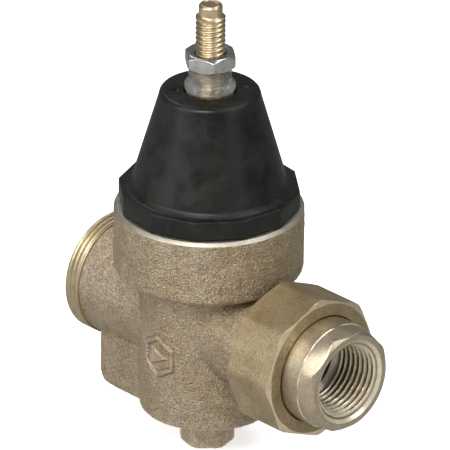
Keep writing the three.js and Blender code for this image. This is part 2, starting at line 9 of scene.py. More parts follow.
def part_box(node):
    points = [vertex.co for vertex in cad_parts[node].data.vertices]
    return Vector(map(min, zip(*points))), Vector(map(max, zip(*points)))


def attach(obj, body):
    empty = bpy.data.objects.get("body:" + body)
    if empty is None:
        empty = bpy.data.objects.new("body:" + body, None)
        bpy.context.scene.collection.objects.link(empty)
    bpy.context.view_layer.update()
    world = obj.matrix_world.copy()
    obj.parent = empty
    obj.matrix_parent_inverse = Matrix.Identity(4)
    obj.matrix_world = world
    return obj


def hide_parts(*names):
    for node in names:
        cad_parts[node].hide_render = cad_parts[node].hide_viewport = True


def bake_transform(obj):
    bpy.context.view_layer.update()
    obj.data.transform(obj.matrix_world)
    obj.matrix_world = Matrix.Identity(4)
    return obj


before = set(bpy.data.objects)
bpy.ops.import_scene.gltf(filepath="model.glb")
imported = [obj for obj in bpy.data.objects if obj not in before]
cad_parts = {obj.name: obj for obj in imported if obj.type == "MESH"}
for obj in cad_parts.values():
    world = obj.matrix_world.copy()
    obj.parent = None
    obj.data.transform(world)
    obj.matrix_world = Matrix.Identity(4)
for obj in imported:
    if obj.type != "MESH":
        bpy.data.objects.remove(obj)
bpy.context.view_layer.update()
MM = 0.001

# Lengths are millimetres in the frame's axes: Z up the adjusting screw, X along the flow axis.


def extent(node):
    low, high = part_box(node)
    return low / MM, high / MM


BODY_LOW, BODY_HIGH = extent("valve_body")
CAGE_LOW, CAGE_HIGH = extent("spring_cage")
SLEEVE_LOW, SLEEVE_HIGH = extent("seal_sleeve")
SCREW_LOW, SCREW_HIGH = extent("adjusting_screw")
NUT_LOW, NUT_HIGH = extent("union_nut")
TAIL_LOW, TAIL_HIGH = extent("union_tailpiece")

FLOW_Z = (TAIL_LOW.z + TAIL_HIGH.z) / 2
RIM_Z = BODY_HIGH.z
HEAD_R = BODY_HIGH.y
FIXED_FACE_X = BODY_LOW.x
UNION_FACE_X = BODY_HIGH.x
FLANGE_BOTTOM_Z = RIM_Z + 0.3
HALF_PI = math.pi / 2

PIPE_PITCH = 25.4 / 14
UNION_PITCH = 25.4 / 16
SCREW_PITCH = 1.5


# ---- outlines ----
def soften(points, radius=0.25, steps=3):
    """An open outline of (radius, height) points with its inner corners rounded.
    A point may carry its own rounding as a third value."""
    rounded = [tuple(points[0][:2])]
    for before, corner, after in zip(points, points[1:], points[2:]):
        size = corner[2] if len(corner) > 2 else radius
        c, b, a = Vector(corner[:2]), Vector(before[:2]), Vector(after[:2])
        reach = min(size, (b - c).length * 0.48, (a - c).length * 0.48)
        if reach < 0.01:
            rounded.append(tuple(c))
            continue
        start = c + (b - c).normalized() * reach
        end = c + (a - c).normalized() * reach
        for i in range(steps + 1):
            t = i / steps
            rounded.append(tuple(start * (1 - t) ** 2 + c * 2 * t * (1 - t) + end * t ** 2))
    rounded.append(tuple(points[-1][:2]))
    return rounded


def stepped(*stretches):
    """An outline that starts and ends on the axis, from stretches of one radius: each is the
    radius and the heights where it starts and ends, or one height where only a slope meets it."""
    points = [(radius, height) for radius, *heights in stretches for height in heights]
    return [(0, points[0][1])] + points + [(0, points[-1][1])]


def thread_rows(start, end, radius, depth, pitch, fade=0.35):
    """Outline points along an outside thread. A point's third value is the depth of the groove
    cut there, and its fourth the pitch; fade is the run-out at each end, in pitches."""
    count = max(4, round(abs(end - start) / pitch * 14))
    rows = []
    for i in range(count + 1):
        t = i / count
        from_ends = min(t, 1 - t) * abs(end - start) / pitch
        rows.append((radius, start + (end - start) * t, depth * min(1.0, from_ends / fade), pitch))
    return rows


def groove(turns, flat=0.1):
    """How far into a sixty-degree thread groove a point is, from 0 at the crest to 1 at the root."""
    wave = 1 - np.abs(2 * (turns % 1.0) - 1)
    return np.clip((wave - flat) / (1 - 2 * flat), 0, 1)


def polygon_radius(angle, sides, flat, corner_rounding, turn=0.0):
    """The radius of a regular polygon with rounded corners, at an angle from its centre."""
    half = math.pi / sides
    local = np.abs((angle - turn) % (2 * half) - half)
    flat_end = np.arctan((flat - corner_rounding) * math.tan(half) / flat)
    centre = (flat - corner_rounding) / math.cos(half)
    beyond = half - local
    under_root = np.maximum(corner_rounding ** 2 - (centre * np.sin(beyond)) ** 2, 0)
    on_corner = centre * np.cos(beyond) + np.sqrt(under_root)
    return np.where(local <= flat_end, flat / np.cos(local), on_corner)


def polygon_angles(sides, flat, corner_rounding, turn=0.0, per_flat=6, per_corner=6):
    """Angles round a polygon that put enough points on its rounded corners."""
    half = math.pi / sides
    flat_end = math.atan((flat - corner_rounding) * math.tan(half) / flat)
    angles = []
    for k in range(sides):
        middle = turn + (2 * k + 1) * half
        angles += list(np.linspace(middle - flat_end, middle + flat_end, per_flat, endpoint=False))
        next_flat = middle + 2 * half - flat_end
        angles += list(np.linspace(middle + flat_end, next_flat, per_corner, endpoint=False))
    return np.array(angles)


# ---- meshes ----
def link(name, mesh):
    piece = bpy.data.objects.new(name, mesh)
    bpy.context.scene.collection.objects.link(piece)
    return piece


def solid(name, points, faces):
    """An object from points in millimetres, its faces turned outward."""
    mesh = bpy.data.meshes.new(name)
    mesh.from_pydata([tuple(c * MM for c in point) for point in points], [], faces)
    shaped = bmesh.new()
    shaped.from_mesh(mesh)
    bmesh.ops.recalc_face_normals(shaped, faces=shaped.faces)
    shaped.to_mesh(mesh)
    shaped.free()
    return link(name, mesh)


def from_grid(name, grid, start_pole=None, end_pole=None):
    """A closed mesh from rows of points that each go once round: grid is rows x points x 3.
    The ends close on their poles, or the last row joins the first where there are none."""
    rows, count = grid.shape[:2]
    points = list(grid.reshape(-1, 3))
    faces = []
    for i in range(rows if start_pole is None else rows - 1):
        nxt = (i + 1) % rows
        for j in range(count):
            k = (j + 1) % count
            faces.append((i * count + j, i * count + k, nxt * count + k, nxt * count + j))
    for pole, row in ((start_pole, 0), (end_pole, rows - 1)):
        if pole is None:
            continue
        points.append(pole)
        tip = len(points) - 1
        for j in range(count):
            faces.append((row * count + j, row * count + (j + 1) % count, tip))
    return solid(name, points, faces)


def turned(name, outline, axis="Z", sides=96, angles=None, reshape=None):
    """A solid turned about Z, or about the flow axis. The outline's points are (radius, height),
    or (radius, height, cut, pitch) where a helical thread is cut. It closes on itself, or starts
    and ends on the axis. reshape(angle, radius, height) can change the radius."""
    if angles is None:
        angles = np.arange(sides) / sides * 2 * math.pi
    data = np.array([tuple(p) + (0.0, 1.0)[len(p) - 2:] for p in outline])
    on_axis = data[0, 0] < 1e-6 and data[-1, 0] < 1e-6
    ends = (data[0, 1], data[-1, 1])
    if on_axis:
        data = data[1:-1]
    radius, height, cut, pitch = (np.repeat(data[:, i:i + 1], len(angles), axis=1) for i in range(4))
    theta = np.repeat(np.array(angles)[None, :], len(data), axis=0)
    if reshape is not None:
        radius = reshape(theta, radius, height)
    radius = radius - cut * groove(height / pitch - theta / (2 * math.pi))
    if axis == "Z":
        grid = np.stack([radius * np.cos(theta), radius * np.sin(theta), height], axis=-1)
        poles = [(0, 0, end) for end in ends]
    else:
        grid = np.stack([height, radius * np.cos(theta), FLOW_Z + radius * np.sin(theta)], axis=-1)
        poles = [(end, 0, FLOW_Z) for end in ends]
    if on_axis:
        return from_grid(name, grid, *poles)
    return from_grid(name, grid)


def rod(name, radius, start, end, axis="Z", sides=96):
    return turned(name, stepped((radius, start, end)), axis, sides)


def shift(piece, x=0, y=0, z=0):
    piece.data.transform(Matrix.Translation((x * MM, y * MM, z * MM)))


def bake(piece):
    """Applies a piece's modifiers and leaves only its mesh."""
    depsgraph = bpy.context.evaluated_depsgraph_get()
    mesh = bpy.data.meshes.new_from_object(piece.evaluated_get(depsgraph))
    piece.modifiers.clear()
    old = piece.data
    piece.data = mesh
    bpy.data.meshes.remove(old)
    return piece


def combine(piece, others, operation):
    for other in others:
        step = piece.modifiers.new("combine", "BOOLEAN")
        step.operation = operation
        step.solver = "EXACT"
        step.object = other
        bake(piece)
        bpy.data.objects.remove(other)
    return piece


def join(name, pieces):
    """One object that holds the meshes of several, without any boolean."""
    joined = bmesh.new()
    for piece in pieces:
        joined.from_mesh(piece.data)
        bpy.data.objects.remove(piece)
    mesh = bpy.data.meshes.new(name)
    joined.to_mesh(mesh)
    joined.free()
    return link(name, mesh)


def remesh(piece, voxel, smoothing):
    """One even skin over everything that the piece holds, its edges eased a little."""
    step = piece.modifiers.new("remesh", "REMESH")
    step.mode = "VOXEL"
    step.voxel_size = voxel * MM
    step.use_smooth_shade = True
    ease = piece.modifiers.new("ease", "SMOOTH")
    ease.factor = 0.5
    ease.iterations = smoothing
    return bake(piece)


def bevel(piece, width, segments=2, angle=28):
    step = piece.modifiers.new("bevel", "BEVEL")
    step.width = width * MM
    step.segments = segments
    step.limit_method = "ANGLE"
    step.angle_limit = math.radians(angle)
    return bake(piece)


def shade(piece, angle=None):
    """Smooth shading, with edges sharper than the angle kept crisp."""
    for face in piece.data.polygons:
        face.use_smooth = True
    if angle is not None:
        piece.data.set_sharp_from_angle(angle=math.radians(angle))
    return piece


def prism(name, outline, low, high, axis="Z"):
    """An upright prism on a list of (x, y) points, or one along Y on (x, z) points."""
    count = len(outline)
    if axis == "Z":
        verts = [(x, y, h) for h in (low, high) for x, y in outline]
    else:
        verts = [(x, h, z) for h in (low, high) for x, z in outline]
    faces = [tuple(range(count)), tuple(range(count, 2 * count))]
    faces += [(i, (i + 1) % count, count + (i + 1) % count, count + i) for i in range(count)]
    return solid(name, verts, faces)


def polygon(sides, flat, corner_rounding, turn):
    """Points of a regular polygon, its flat at the given distance, with rounded corners."""
    angles = polygon_angles(sides, flat, corner_rounding, turn, per_flat=1, per_corner=6)
    radii = polygon_radius(angles, sides, flat, corner_rounding, turn)
    return [(r * math.cos(a), r * math.sin(a)) for r, a in zip(radii, angles)]


# ---- materials ----
def set_inputs(node, values):
    """Sets a node's inputs, each named with _ where Blender has a space."""
    for socket, value in values.items():
        node.inputs[socket.replace("_", " ")].default_value = value


class Finish:
    """A material under construction, with short calls for the nodes that it uses."""

    def __init__(self, name, metallic=0.0, roughness=0.5, **uniform):
        self.material = bpy.data.materials.new(name)
        self.material.use_nodes = True
        self.nodes = self.material.node_tree.nodes
        self.links = self.material.node_tree.links
        self.shader = self.nodes["Principled BSDF"]
        set_inputs(self.shader, {"Metallic": metallic, "Roughness": roughness, **uniform})
        self.coords = self.node("TexCoord").outputs["Object"]

    def join(self, source, target):
        self.links.new(source, target)

    def node(self, kind, **inputs):
        made = self.nodes.new("ShaderNode" + kind)
        set_inputs(made, inputs)
        return made

    def stretched(self, scale):
        node = self.node("Mapping", Scale=scale)
        self.join(self.coords, node.inputs["Vector"])
        return node.outputs["Vector"]

    def noise(self, size, detail=3.0, roughness=0.55, distortion=0.0, vector=None):
        """Noise whose lumps are about size millimetres across."""
        node = self.node(
            "TexNoise", Scale=1000.0 / size, Detail=detail, Roughness=roughness, Distortion=distortion)
        self.join(vector or self.coords, node.inputs["Vector"])
        return node.outputs["Fac"]

    def cells(self, size):
        node = self.node("TexVoronoi", Scale=1000.0 / size)
        self.join(self.coords, node.inputs["Vector"])
        return node.outputs["Distance"]

    def pointiness(self):
        return self.node("NewGeometry").outputs["Pointiness"]

    def ramp(self, source, stops):
        """Colours, or greys given as one number, at places along the source."""
        node = self.node("ValToRGB")
        band = node.color_ramp
        while len(band.elements) < len(stops):
            band.elements.new(0.5)
        for element, (position, colour) in zip(band.elements, stops):
            element.position = position
            element.color = (*colour, 1.0) if isinstance(colour, tuple) else (colour,) * 3 + (1.0,)
        self.join(source, node.inputs["Fac"])
        return node.outputs["Color"]

    def remap(self, source, low, high, to_low, to_high):
        node = self.node("MapRange", From_Min=low, From_Max=high, To_Min=to_low, To_Max=to_high)
        self.join(source, node.inputs["Value"])
        return node.outputs["Result"]

    def mix(self, factor, first, second, blend="MIX"):
        """Mixes two colours, each a socket or a tuple, by a socket or a number."""
        node = self.node("Mix")
        node.data_type = "RGBA"
        node.blend_type = blend
        for value, socket in zip((factor, first, second), (node.inputs[i] for i in (0, 6, 7))):
            if isinstance(value, bpy.types.NodeSocket):
                self.join(value, socket)
            elif isinstance(value, tuple):
                socket.default_value = (*value, 1.0)
            else:
                socket.default_value = value
        return node.outputs[2]

    def bumps(self, *layers):
        """Bump layers of (height, strength, depth in millimetres), each on top of the last."""
        normal = None
        for height, strength, depth in layers:
            node = self.node("Bump", Strength=strength, Distance=depth * MM)
            self.join(height, node.inputs["Height"])
            if normal is not None:
                self.join(normal, node.inputs["Normal"])
            normal = node.outputs["Normal"]
        self.join(normal, self.shader.inputs["Normal"])

    def colour(self, source):
        self.join(source, self.shader.inputs["Base Color"])

    def rough(self, source):
        self.join(source, self.shader.inputs["Roughness"])


def cast_bronze():
    """Sand-cast, tumbled bronze: a granular skin, golden in places and pinkish in others."""
    f = Finish("cast_bronze", metallic=0.88)
    patches = f.noise(16.0, detail=3, distortion=0.3)
    mottle = f.noise(3.2, detail=4, roughness=0.6)
    grain = f.noise(0.6, detail=3, roughness=0.65)
    fine = f.noise(0.34, detail=2, roughness=0.6)
    base = f.ramp(patches, [(0.4, (0.485, 0.40, 0.275)), (0.62, (0.54, 0.455, 0.35))])
    clouds = f.ramp(mottle, [(0.3, (0.8, 0.79, 0.78)), (0.7, (1.08, 1.08, 1.06))])
    speckle = f.ramp(fine, [
        (0.36, (0.5, 0.47, 0.43)), (0.47, (0.92, 0.91, 0.9)), (0.68, (1.34, 1.31, 1.27))])
    body = f.mix(1.0, f.mix(1.0, base, clouds, "MULTIPLY"), speckle, "MULTIPLY")
    # Painted shade: pointiness darkens the concave creases; convex edges come out lighter, as rubbed wear.
    wear = f.ramp(f.pointiness(), [(0.45, (0.5, 0.45, 0.4)), (0.5, 1.0), (0.55, (1.15, 1.14, 1.1))])
    f.colour(f.mix(0.85, body, wear, "MULTIPLY"))
    f.rough(f.remap(grain, 0.3, 0.7, 0.54, 0.42))
    f.bumps((mottle, 0.5, 0.4), (grain, 1.0, 0.5), (fine, 0.8, 0.18))
    return f.material


def nut_bronze():
    """A finer, more golden casting for the union nut, brighter at its edges: rubbed wear and a painted
    highlight.
    """
    f = Finish("nut_bronze", metallic=0.85)
    patches = f.noise(9.0, detail=4)
    grain = f.noise(0.6, detail=3, roughness=0.62)
    base = f.ramp(patches, [(0.35, (0.34, 0.27, 0.155)), (0.65, (0.46, 0.375, 0.235))])
    speckle = f.ramp(grain, [(0.3, (0.74, 0.72, 0.7)), (0.7, (1.18, 1.17, 1.15))])
    body = f.mix(1.0, base, speckle, "MULTIPLY")
    # Convex edges turn bright gold: partly rubbed wear, partly a painted highlight.
    edge_wear_and_highlight = f.ramp(f.pointiness(), [(0.52, 0.0), (0.6, 0.5)])
    f.colour(f.mix(edge_wear_and_highlight, body, (0.62, 0.53, 0.37)))
    f.rough(f.remap(grain, 0.3, 0.7, 0.56, 0.42))
    f.bumps((patches, 0.3, 0.4), (grain, 0.9, 0.22))
    return f.material


STAIN = 0.82


def machined(name, colour, roughness, tool_marks=0.2, axis="X", speckled=0.1, metallic=1.0):
    """Turned metal: faint tool marks that run round the axis, and slight staining."""
    f = Finish(name, metallic=metallic)
    along = {"X": (60, 1, 1), "Z": (1, 1, 60)}[axis]
    marks = f.noise(9.0, detail=4, vector=f.stretched(along))
    stain = f.noise(3.0, detail=5, distortion=0.5)
    handling = f.noise(0.9, detail=4)
    stained = tuple(c * STAIN for c in colour)
    speckle = f.ramp(f.noise(0.35, detail=2), [(0.36, 1 - speckled), (0.62, 1.0)])
    f.colour(f.mix(1.0, f.ramp(stain, [(0.35, stained), (0.6, colour)]), speckle, "MULTIPLY"))
    grip = f.mix(0.5, marks, handling)
    f.rough(f.remap(grip, 0.3, 0.7, roughness - 0.05, roughness + 0.05))
    f.bumps((marks, tool_marks, 0.02), (handling, tool_marks * 0.6, 0.03))
    return f.material


def cage_plastic():
    """Satin black moulding with a faint flow mottle, dust specks and rubbed patches."""
    f = Finish("cage_plastic", metallic=0.0, Specular_IOR_Level=0.3)
    mottle = f.noise(6.0, detail=4, distortion=0.6)
    grain = f.noise(0.4, detail=2)
    dust = f.ramp(f.cells(2.2), [(0.0, 1.0), (0.05, 0.0)])
    base = f.ramp(mottle, [(0.35, (0.0042, 0.0052, 0.004)), (0.68, (0.014, 0.0158, 0.0125))])
    f.colour(f.mix(f.mix(0.1, (0.0, 0.0, 0.0), dust), base, (0.25, 0.24, 0.22)))
    f.rough(f.remap(mottle, 0.3, 0.7, 0.3, 0.5))
    f.bumps((mottle, 0.1, 0.15), (grain, 0.12, 0.02))
    return f.material


def clouded(name, cloud, colours, rough, grain, wear=None, last=0.65, **uniform):
    """Clouds of two colours, with a grain of (size, strength, depth) and perhaps their own wear."""
    f = Finish(name, **uniform)
    clouds = f.noise(**cloud)
    f.colour(f.ramp(clouds, [(0.35, colours[0]), (last, colours[1])]))
    f.rough(f.remap(f.noise(**wear) if wear else clouds, 0.3, 0.7, *rough))
    size, strength, depth = grain
    f.bumps((f.noise(size) if size else clouds, strength, depth))
    return f.material


def milky_nylon():
    return clouded("milky_nylon", dict(size=2.5), [(0.62, 0.61, 0.585), (0.74, 0.73, 0.7)],
                   (0.16, 0.26), (0.8, 0.06, 0.03), Transmission_Weight=0.88, IOR=1.2)


def zinc_plate():
    return clouded("zinc_plate", dict(size=2.0, detail=4), [(0.46, 0.46, 0.455), (0.6, 0.6, 0.59)],
                   (0.2, 0.28), (0.5, 0.08, 0.02), wear=dict(size=0.6, detail=4), metallic=1.0)


def dull_steel(name, colour, roughness):
    return clouded(name, dict(size=1.5, detail=4), [tuple(c * 0.8 for c in colour), colour],
                   (roughness - 0.06, roughness + 0.06), (0.4, 0.1, 0.02), metallic=1.0)


def black_rubber():
    return clouded("black_rubber", dict(size=1.8, detail=4), [0.012, 0.03],
                   (0.6, 0.8), (0.35, 0.2, 0.04), last=0.7)


def pressed_fibre():
    return clouded("pressed_fibre", dict(size=1.2, detail=5, distortion=1.5),
                   [(0.2, 0.14, 0.09), (0.34, 0.25, 0.17)], (0.7, 0.85), (None, 0.3, 0.06))


FINISHES = {
    "cast_bronze": cast_bronze(),
    "nut_bronze": nut_bronze(),
    "satin_bronze": machined("satin_bronze", (0.66, 0.565, 0.41), 0.42, 0.12, speckled=0.3),
    "bright_bronze": machined("bright_bronze", (0.64, 0.54, 0.37), 0.4),
    "rim_bronze": machined("rim_bronze", (0.60, 0.55, 0.46), 0.5, axis="Z"),
    # The next three finishes also carry painted light: a painted highlight on the nut's front cone and in
    # the cut bore, and painted shade in the thread roots.
    "turned_cone_and_highlight": machined("turned_cone_and_highlight", (0.92, 0.78, 0.55), 0.45, 0.1),
    "thread_root_shade": machined("thread_root_shade", (0.52, 0.41, 0.26), 0.4, 0.05),
    "cut_bronze_and_highlight": machined("cut_bronze_and_highlight", (0.97, 0.88, 0.70), 0.36, 0.05, metallic=0.7),
    "brass": machined("brass", (0.70, 0.57, 0.37), 0.34, 0.05, axis="Z"),
    "zinc_steel": zinc_plate(),
    "spring_steel": dull_steel("spring_steel", (0.42, 0.42, 0.42), 0.35),
    "stainless": dull_steel("stainless", (0.62, 0.62, 0.61), 0.25),
    "black_plastic": cage_plastic(),
    "nylon": milky_nylon(),
    "rubber": black_rubber(),
    "fibre": pressed_fibre(),
}


def place(piece, body, node, slot, finish=None):
    """Gives a detailed piece its finish and its body, and hides the CAD node that it stands for."""
    piece.data.materials.clear()
    piece.data.materials.append(FINISHES[finish or slot])
    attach(piece, body)
    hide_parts(node)
    return piece


# ---- valve body ----
BARREL_R = 19.1
BARREL_Z = 11.3
HEAD_Z = 53.5
CHAMBER_R = 19.5
CAGE_THREAD_R = 23.8
RIM_HEIGHT = 0.9
BOSS_R = 16.9
UNION_BOSS_R = 14.6
COLLAR_X = FIXED_FACE_X + 5.3
UNION_THREAD_X = NUT_LOW.x + 0.6
THREAD_R = 17.5
THREAD_DEPTH = 0.85
PIPE_BORE_R = 9.25
PIPE_CREST_R = 9.95
PIPE_ROOT_R = 11.3
PIPE_MOUTH_R = 12.1
PIPE_RELIEF_R = 10.6
PIPE_TAPER = 0.35
LEAD_IN = 0.3
THREAD_ROWS = 110
FIXED_THREAD_LENGTH = 11.0
TAIL_THREAD_LENGTH = 14.6
UNION_SLEEVE_R = 10.5
UNION_SLEEVE_X = 26
FIXED_SLEEVE_R = 12
FIXED_SLEEVE_X = -26
PRESS = 0.05
SEAT_R = 11.6
GUIDE_BORE_R = 4.2
GUIDE_FLOOR_Z = 4.5
LOWER_BORE_R = 13.5
LOWER_FLOOR_Z = 15.5
BRIDGE_BORE_R = 10
BRIDGE_BOTTOM_Z = 27
BRIDGE_TOP_Z = 31
THROAT_R = 12
CHAMBER_FLOOR_Z = 58.5
CLAMP_FLOOR_Z = 62
RISER_R = 7.5
RISER_X = -23
RISER_END_X = -18
LOWER_PASSAGE_R = 5
LOWER_PASSAGE_Z = 20.7
CAST_EDGE = 0.8
HEAD_EDGE = 1.4
CAST_OVERLAP = 1.2
SKIN_VOXEL = 0.29
SKIN_SMOOTHING = 6
FILLET_SMOOTHING = 60
WEB_HALF = 13.0
WEB_END_X = -34.0
WEB_BOTTOM_R = 9.0
WEB_CORNER_R = 6.5
FOOT_TURN = math.radians(-13.4)
FOOT_ROUNDING = 2.8
FOOT_FLAT = 6.85
FOOT_TOP_Z = 12.9


def arc(centre, radius, start, end, steps=8):
    angles = [math.radians(start + (end - start) * i / steps) for i in range(steps + 1)]
    return [(centre[0] + radius * math.cos(a), centre[1] + radius * math.sin(a)) for a in angles]


def web():
    """The wall below the fixed port that holds the passage down to the lower chamber."""
    side = [(0, BARREL_Z)]
    side += arc((WEB_END_X + WEB_BOTTOM_R, BARREL_Z + WEB_BOTTOM_R), WEB_BOTTOM_R, -90, -180)
    side += [(WEB_END_X, FLOW_Z), (0, FLOW_Z)]
    corner_x, corner_y = WEB_END_X + WEB_CORNER_R, WEB_HALF - WEB_CORNER_R
    plan = [(0, -WEB_HALF), (0, WEB_HALF)]
    plan += arc((corner_x, corner_y), WEB_CORNER_R, 90, 180)
    plan += arc((corner_x, -corner_y), WEB_CORNER_R, 180, 270)
    across = prism("web", side, -WEB_HALF, WEB_HALF, "Y")
    return combine(across, [prism("web_plan", plan, 0, FLOW_Z)], "INTERSECT")


MARK_Z = 32.0
MARK_HEIGHT = 0.75
MARK_CORNER = 6.3
MARK_BORDER = 1.1
MARK_SLOPE = 0.45
MARK_POINTER = [(-2.2, -2.6), (3.2, 0), (-2.2, 2.6)]


def inside_polygon(x, y, outline):
    """How far inside a closed outline each point is, in millimetres; negative outside it."""
    within = np.zeros(x.shape, bool)
    nearest = np.full(x.shape, 1e9)
    for (ax, ay), (bx, by) in zip(outline, outline[1:] + outline[:1]):
        crosses = (ay > y) != (by > y)
        with np.errstate(divide="ignore", invalid="ignore"):
            at = ax + (y - ay) * (bx - ax) / (by - ay)
        within ^= crosses & (x < at)
        span_x, span_y = bx - ax, by - ay
        along = ((x - ax) * span_x + (y - ay) * span_y) / (span_x ** 2 + span_y ** 2)
        along = np.clip(along, 0, 1)
        nearest = np.minimum(nearest, np.hypot(x - ax - along * span_x, y - ay - along * span_y))
    return np.where(within, nearest, -nearest)


def raise_mark(points):
    """A raised hexagon on the barrel, with a triangle in it that points along the flow."""
    x = np.arctan2(points[:, 0], -points[:, 1]) * BARREL_R
    z = points[:, 2] - MARK_Z
    turns = np.arange(6) * math.pi / 3
    hexagon = [(MARK_CORNER * math.sin(a), MARK_CORNER * math.cos(a)) for a in turns]
    border = MARK_BORDER / 2 - np.abs(inside_polygon(x, z, hexagon) - MARK_BORDER / 2)
    inside = np.maximum(border, inside_polygon(x, z, MARK_POINTER))
    lift = np.clip(inside / MARK_SLOPE + 0.55, 0, 1)
    lift = lift * lift * (3 - 2 * lift) * MARK_HEIGHT
    barrel = np.hypot(points[:, 0], points[:, 1])
    lift = np.where((points[:, 1] < 0) & (np.abs(barrel - BARREL_R) < 1.5), lift, 0)
    points[:, :2] *= (1 + lift / barrel)[:, None]
    return points


def get_points(piece):
    points = np.zeros(len(piece.data.vertices) * 3)
    piece.data.vertices.foreach_get("co", points)
    return points.reshape(-1, 3) / MM


def set_points(piece, points):
    piece.data.vertices.foreach_set("co", (points * MM).ravel())
    piece.data.update()


def ease_where(piece, weight, iterations):
    """Smooths a mesh more where the weight is high, as a fillet does where two bosses meet."""
    group = piece.vertex_groups.new(name="ease")
    for share in range(1, 11):
        chosen = np.nonzero(np.round(weight * 10) == share)[0]
        group.add(chosen.tolist(), share / 10, "REPLACE")
    step = piece.modifiers.new("ease", "SMOOTH")
    step.factor = 0.5
    step.iterations = iterations
    step.vertex_group = "ease"
    bake(piece)
    piece.vertex_groups.clear()
    return piece


def near(distance, reach):
    return np.clip(1.5 - np.abs(distance) / reach, 0, 1)


def fillet_weight(points):
    """Where the union boss leaves the barrel and the head, and the fixed boss its web."""
    x, y, z = points.T
    barrel = near(np.hypot(x, y) - BARREL_R, 2.6) * np.clip((z - FLOW_Z + 4) / 6, 0, 1)
    under_head = near(z - HEAD_Z, 2.4)
    union = near(np.hypot(y, z - FLOW_Z) - UNION_BOSS_R, 2.8) * (x > 0)
    fixed = near(np.hypot(y, z - FLOW_Z) - BOSS_R, 2.4) * (x < -20)
    web = near(np.abs(y) - WEB_HALF, 2.4) * (z < FLOW_Z)
    return np.maximum(union * np.maximum(barrel, under_head), fixed * np.maximum(under_head, web))


def body_skin():
    """The outside of the casting, its corners eased as they come out of the sand."""
    barrel = turned("barrel", stepped(
        (BARREL_R - CAST_EDGE, BARREL_Z), (BARREL_R, BARREL_Z + CAST_EDGE, HEAD_Z - CAST_EDGE),
        (BARREL_R + CAST_EDGE, HEAD_Z), (HEAD_R - HEAD_EDGE, HEAD_Z),
        (HEAD_R, HEAD_Z + HEAD_EDGE, RIM_Z + 3)))
    fixed = rod("fixed_boss", BOSS_R, COLLAR_X - CAST_OVERLAP, 0, "X")
    union = rod("union_boss", UNION_BOSS_R, 0, UNION_THREAD_X + CAST_OVERLAP, "X")
    skin = join("body_casting", [barrel, web(), fixed, union])
    remesh(skin, SKIN_VOXEL, SKIN_SMOOTHING)
    ease_where(skin, fillet_weight(get_points(skin)), FILLET_SMOOTHING)
    set_points(skin, raise_mark(get_points(skin)))
    return combine(skin, [foot()], "UNION")


def foot():
    angles = polygon_angles(6, FOOT_FLAT, FOOT_ROUNDING, FOOT_TURN, 10, 12)
    levels = [(FOOT_FLAT - 0.4, 0.0), (FOOT_FLAT - 0.1, 0.12), (FOOT_FLAT, 0.5)]
    levels += [(FOOT_FLAT, 0.9 + 0.45 * i) for i in range(27)]
    return turned("foot", [(0, 0), *levels, (0, FOOT_TOP_Z)], angles=angles, reshape=foot_reshape)


def foot_reshape(angle, radius, height):
    return polygon_radius(angle, 6, radius, FOOT_ROUNDING, FOOT_TURN)


def roughen(piece, size, depth):
    """Moves each vertex along its normal by smooth noise, as a sand mould leaves it."""
    points = get_points(piece)
    normals = np.zeros(points.size)
    piece.data.vertex_normals.foreach_get("vector", normals)
    lift = np.array([noise.fractal(Vector(p), 1.0, 2.0, 3) for p in points / size])
    set_points(piece, points + normals.reshape(-1, 3) * lift[:, None] * depth)


def body_cavities():
    """The bores and water ways that are cut out of the casting."""
    floor_z = RIM_Z - RIM_HEIGHT
    centre = turned("centre", stepped(
        (GUIDE_BORE_R, GUIDE_FLOOR_Z, LOWER_FLOOR_Z),
        (LOWER_BORE_R, LOWER_FLOOR_Z, BRIDGE_BOTTOM_Z),
        (BRIDGE_BORE_R, BRIDGE_BOTTOM_Z, BRIDGE_TOP_Z),
        (THROAT_R, BRIDGE_TOP_Z, CHAMBER_FLOOR_Z - 1),
        (CHAMBER_R, CHAMBER_FLOOR_Z, CLAMP_FLOOR_Z),
        (CAGE_THREAD_R, CLAMP_FLOOR_Z, floor_z),
        (HEAD_R + 4, floor_z, RIM_Z + 8)), sides=72)
    union = turned("union_way", stepped(
        (PIPE_BORE_R, 0, UNION_SLEEVE_X),
        (UNION_SLEEVE_R, UNION_SLEEVE_X, UNION_FACE_X + 2)), "X", 72)
    fixed = turned("fixed_way", stepped(
        (FIXED_SLEEVE_R, FIXED_FACE_X - 2, FIXED_SLEEVE_X),
        (PIPE_BORE_R, FIXED_SLEEVE_X, RISER_END_X)), "X", 72)
    riser = rod("riser", RISER_R, LOWER_PASSAGE_Z, FLOW_Z, sides=48)
    shift(riser, x=RISER_X)
    lower = rod("lower_way", LOWER_PASSAGE_R, RISER_X - 4, 0, "X", 48)
    shift(lower, z=LOWER_PASSAGE_Z - FLOW_Z)
    return [centre, union, fixed, riser, lower]


def body_casting():
    skin = body_skin()
    roughen(skin, 6.0, 0.16)
    roughen(skin, 1.1, 0.09)
    combine(skin, body_cavities(), "DIFFERENCE")
    place(shade(skin, 40), "valve_casing", "valve_body", "cast_bronze")


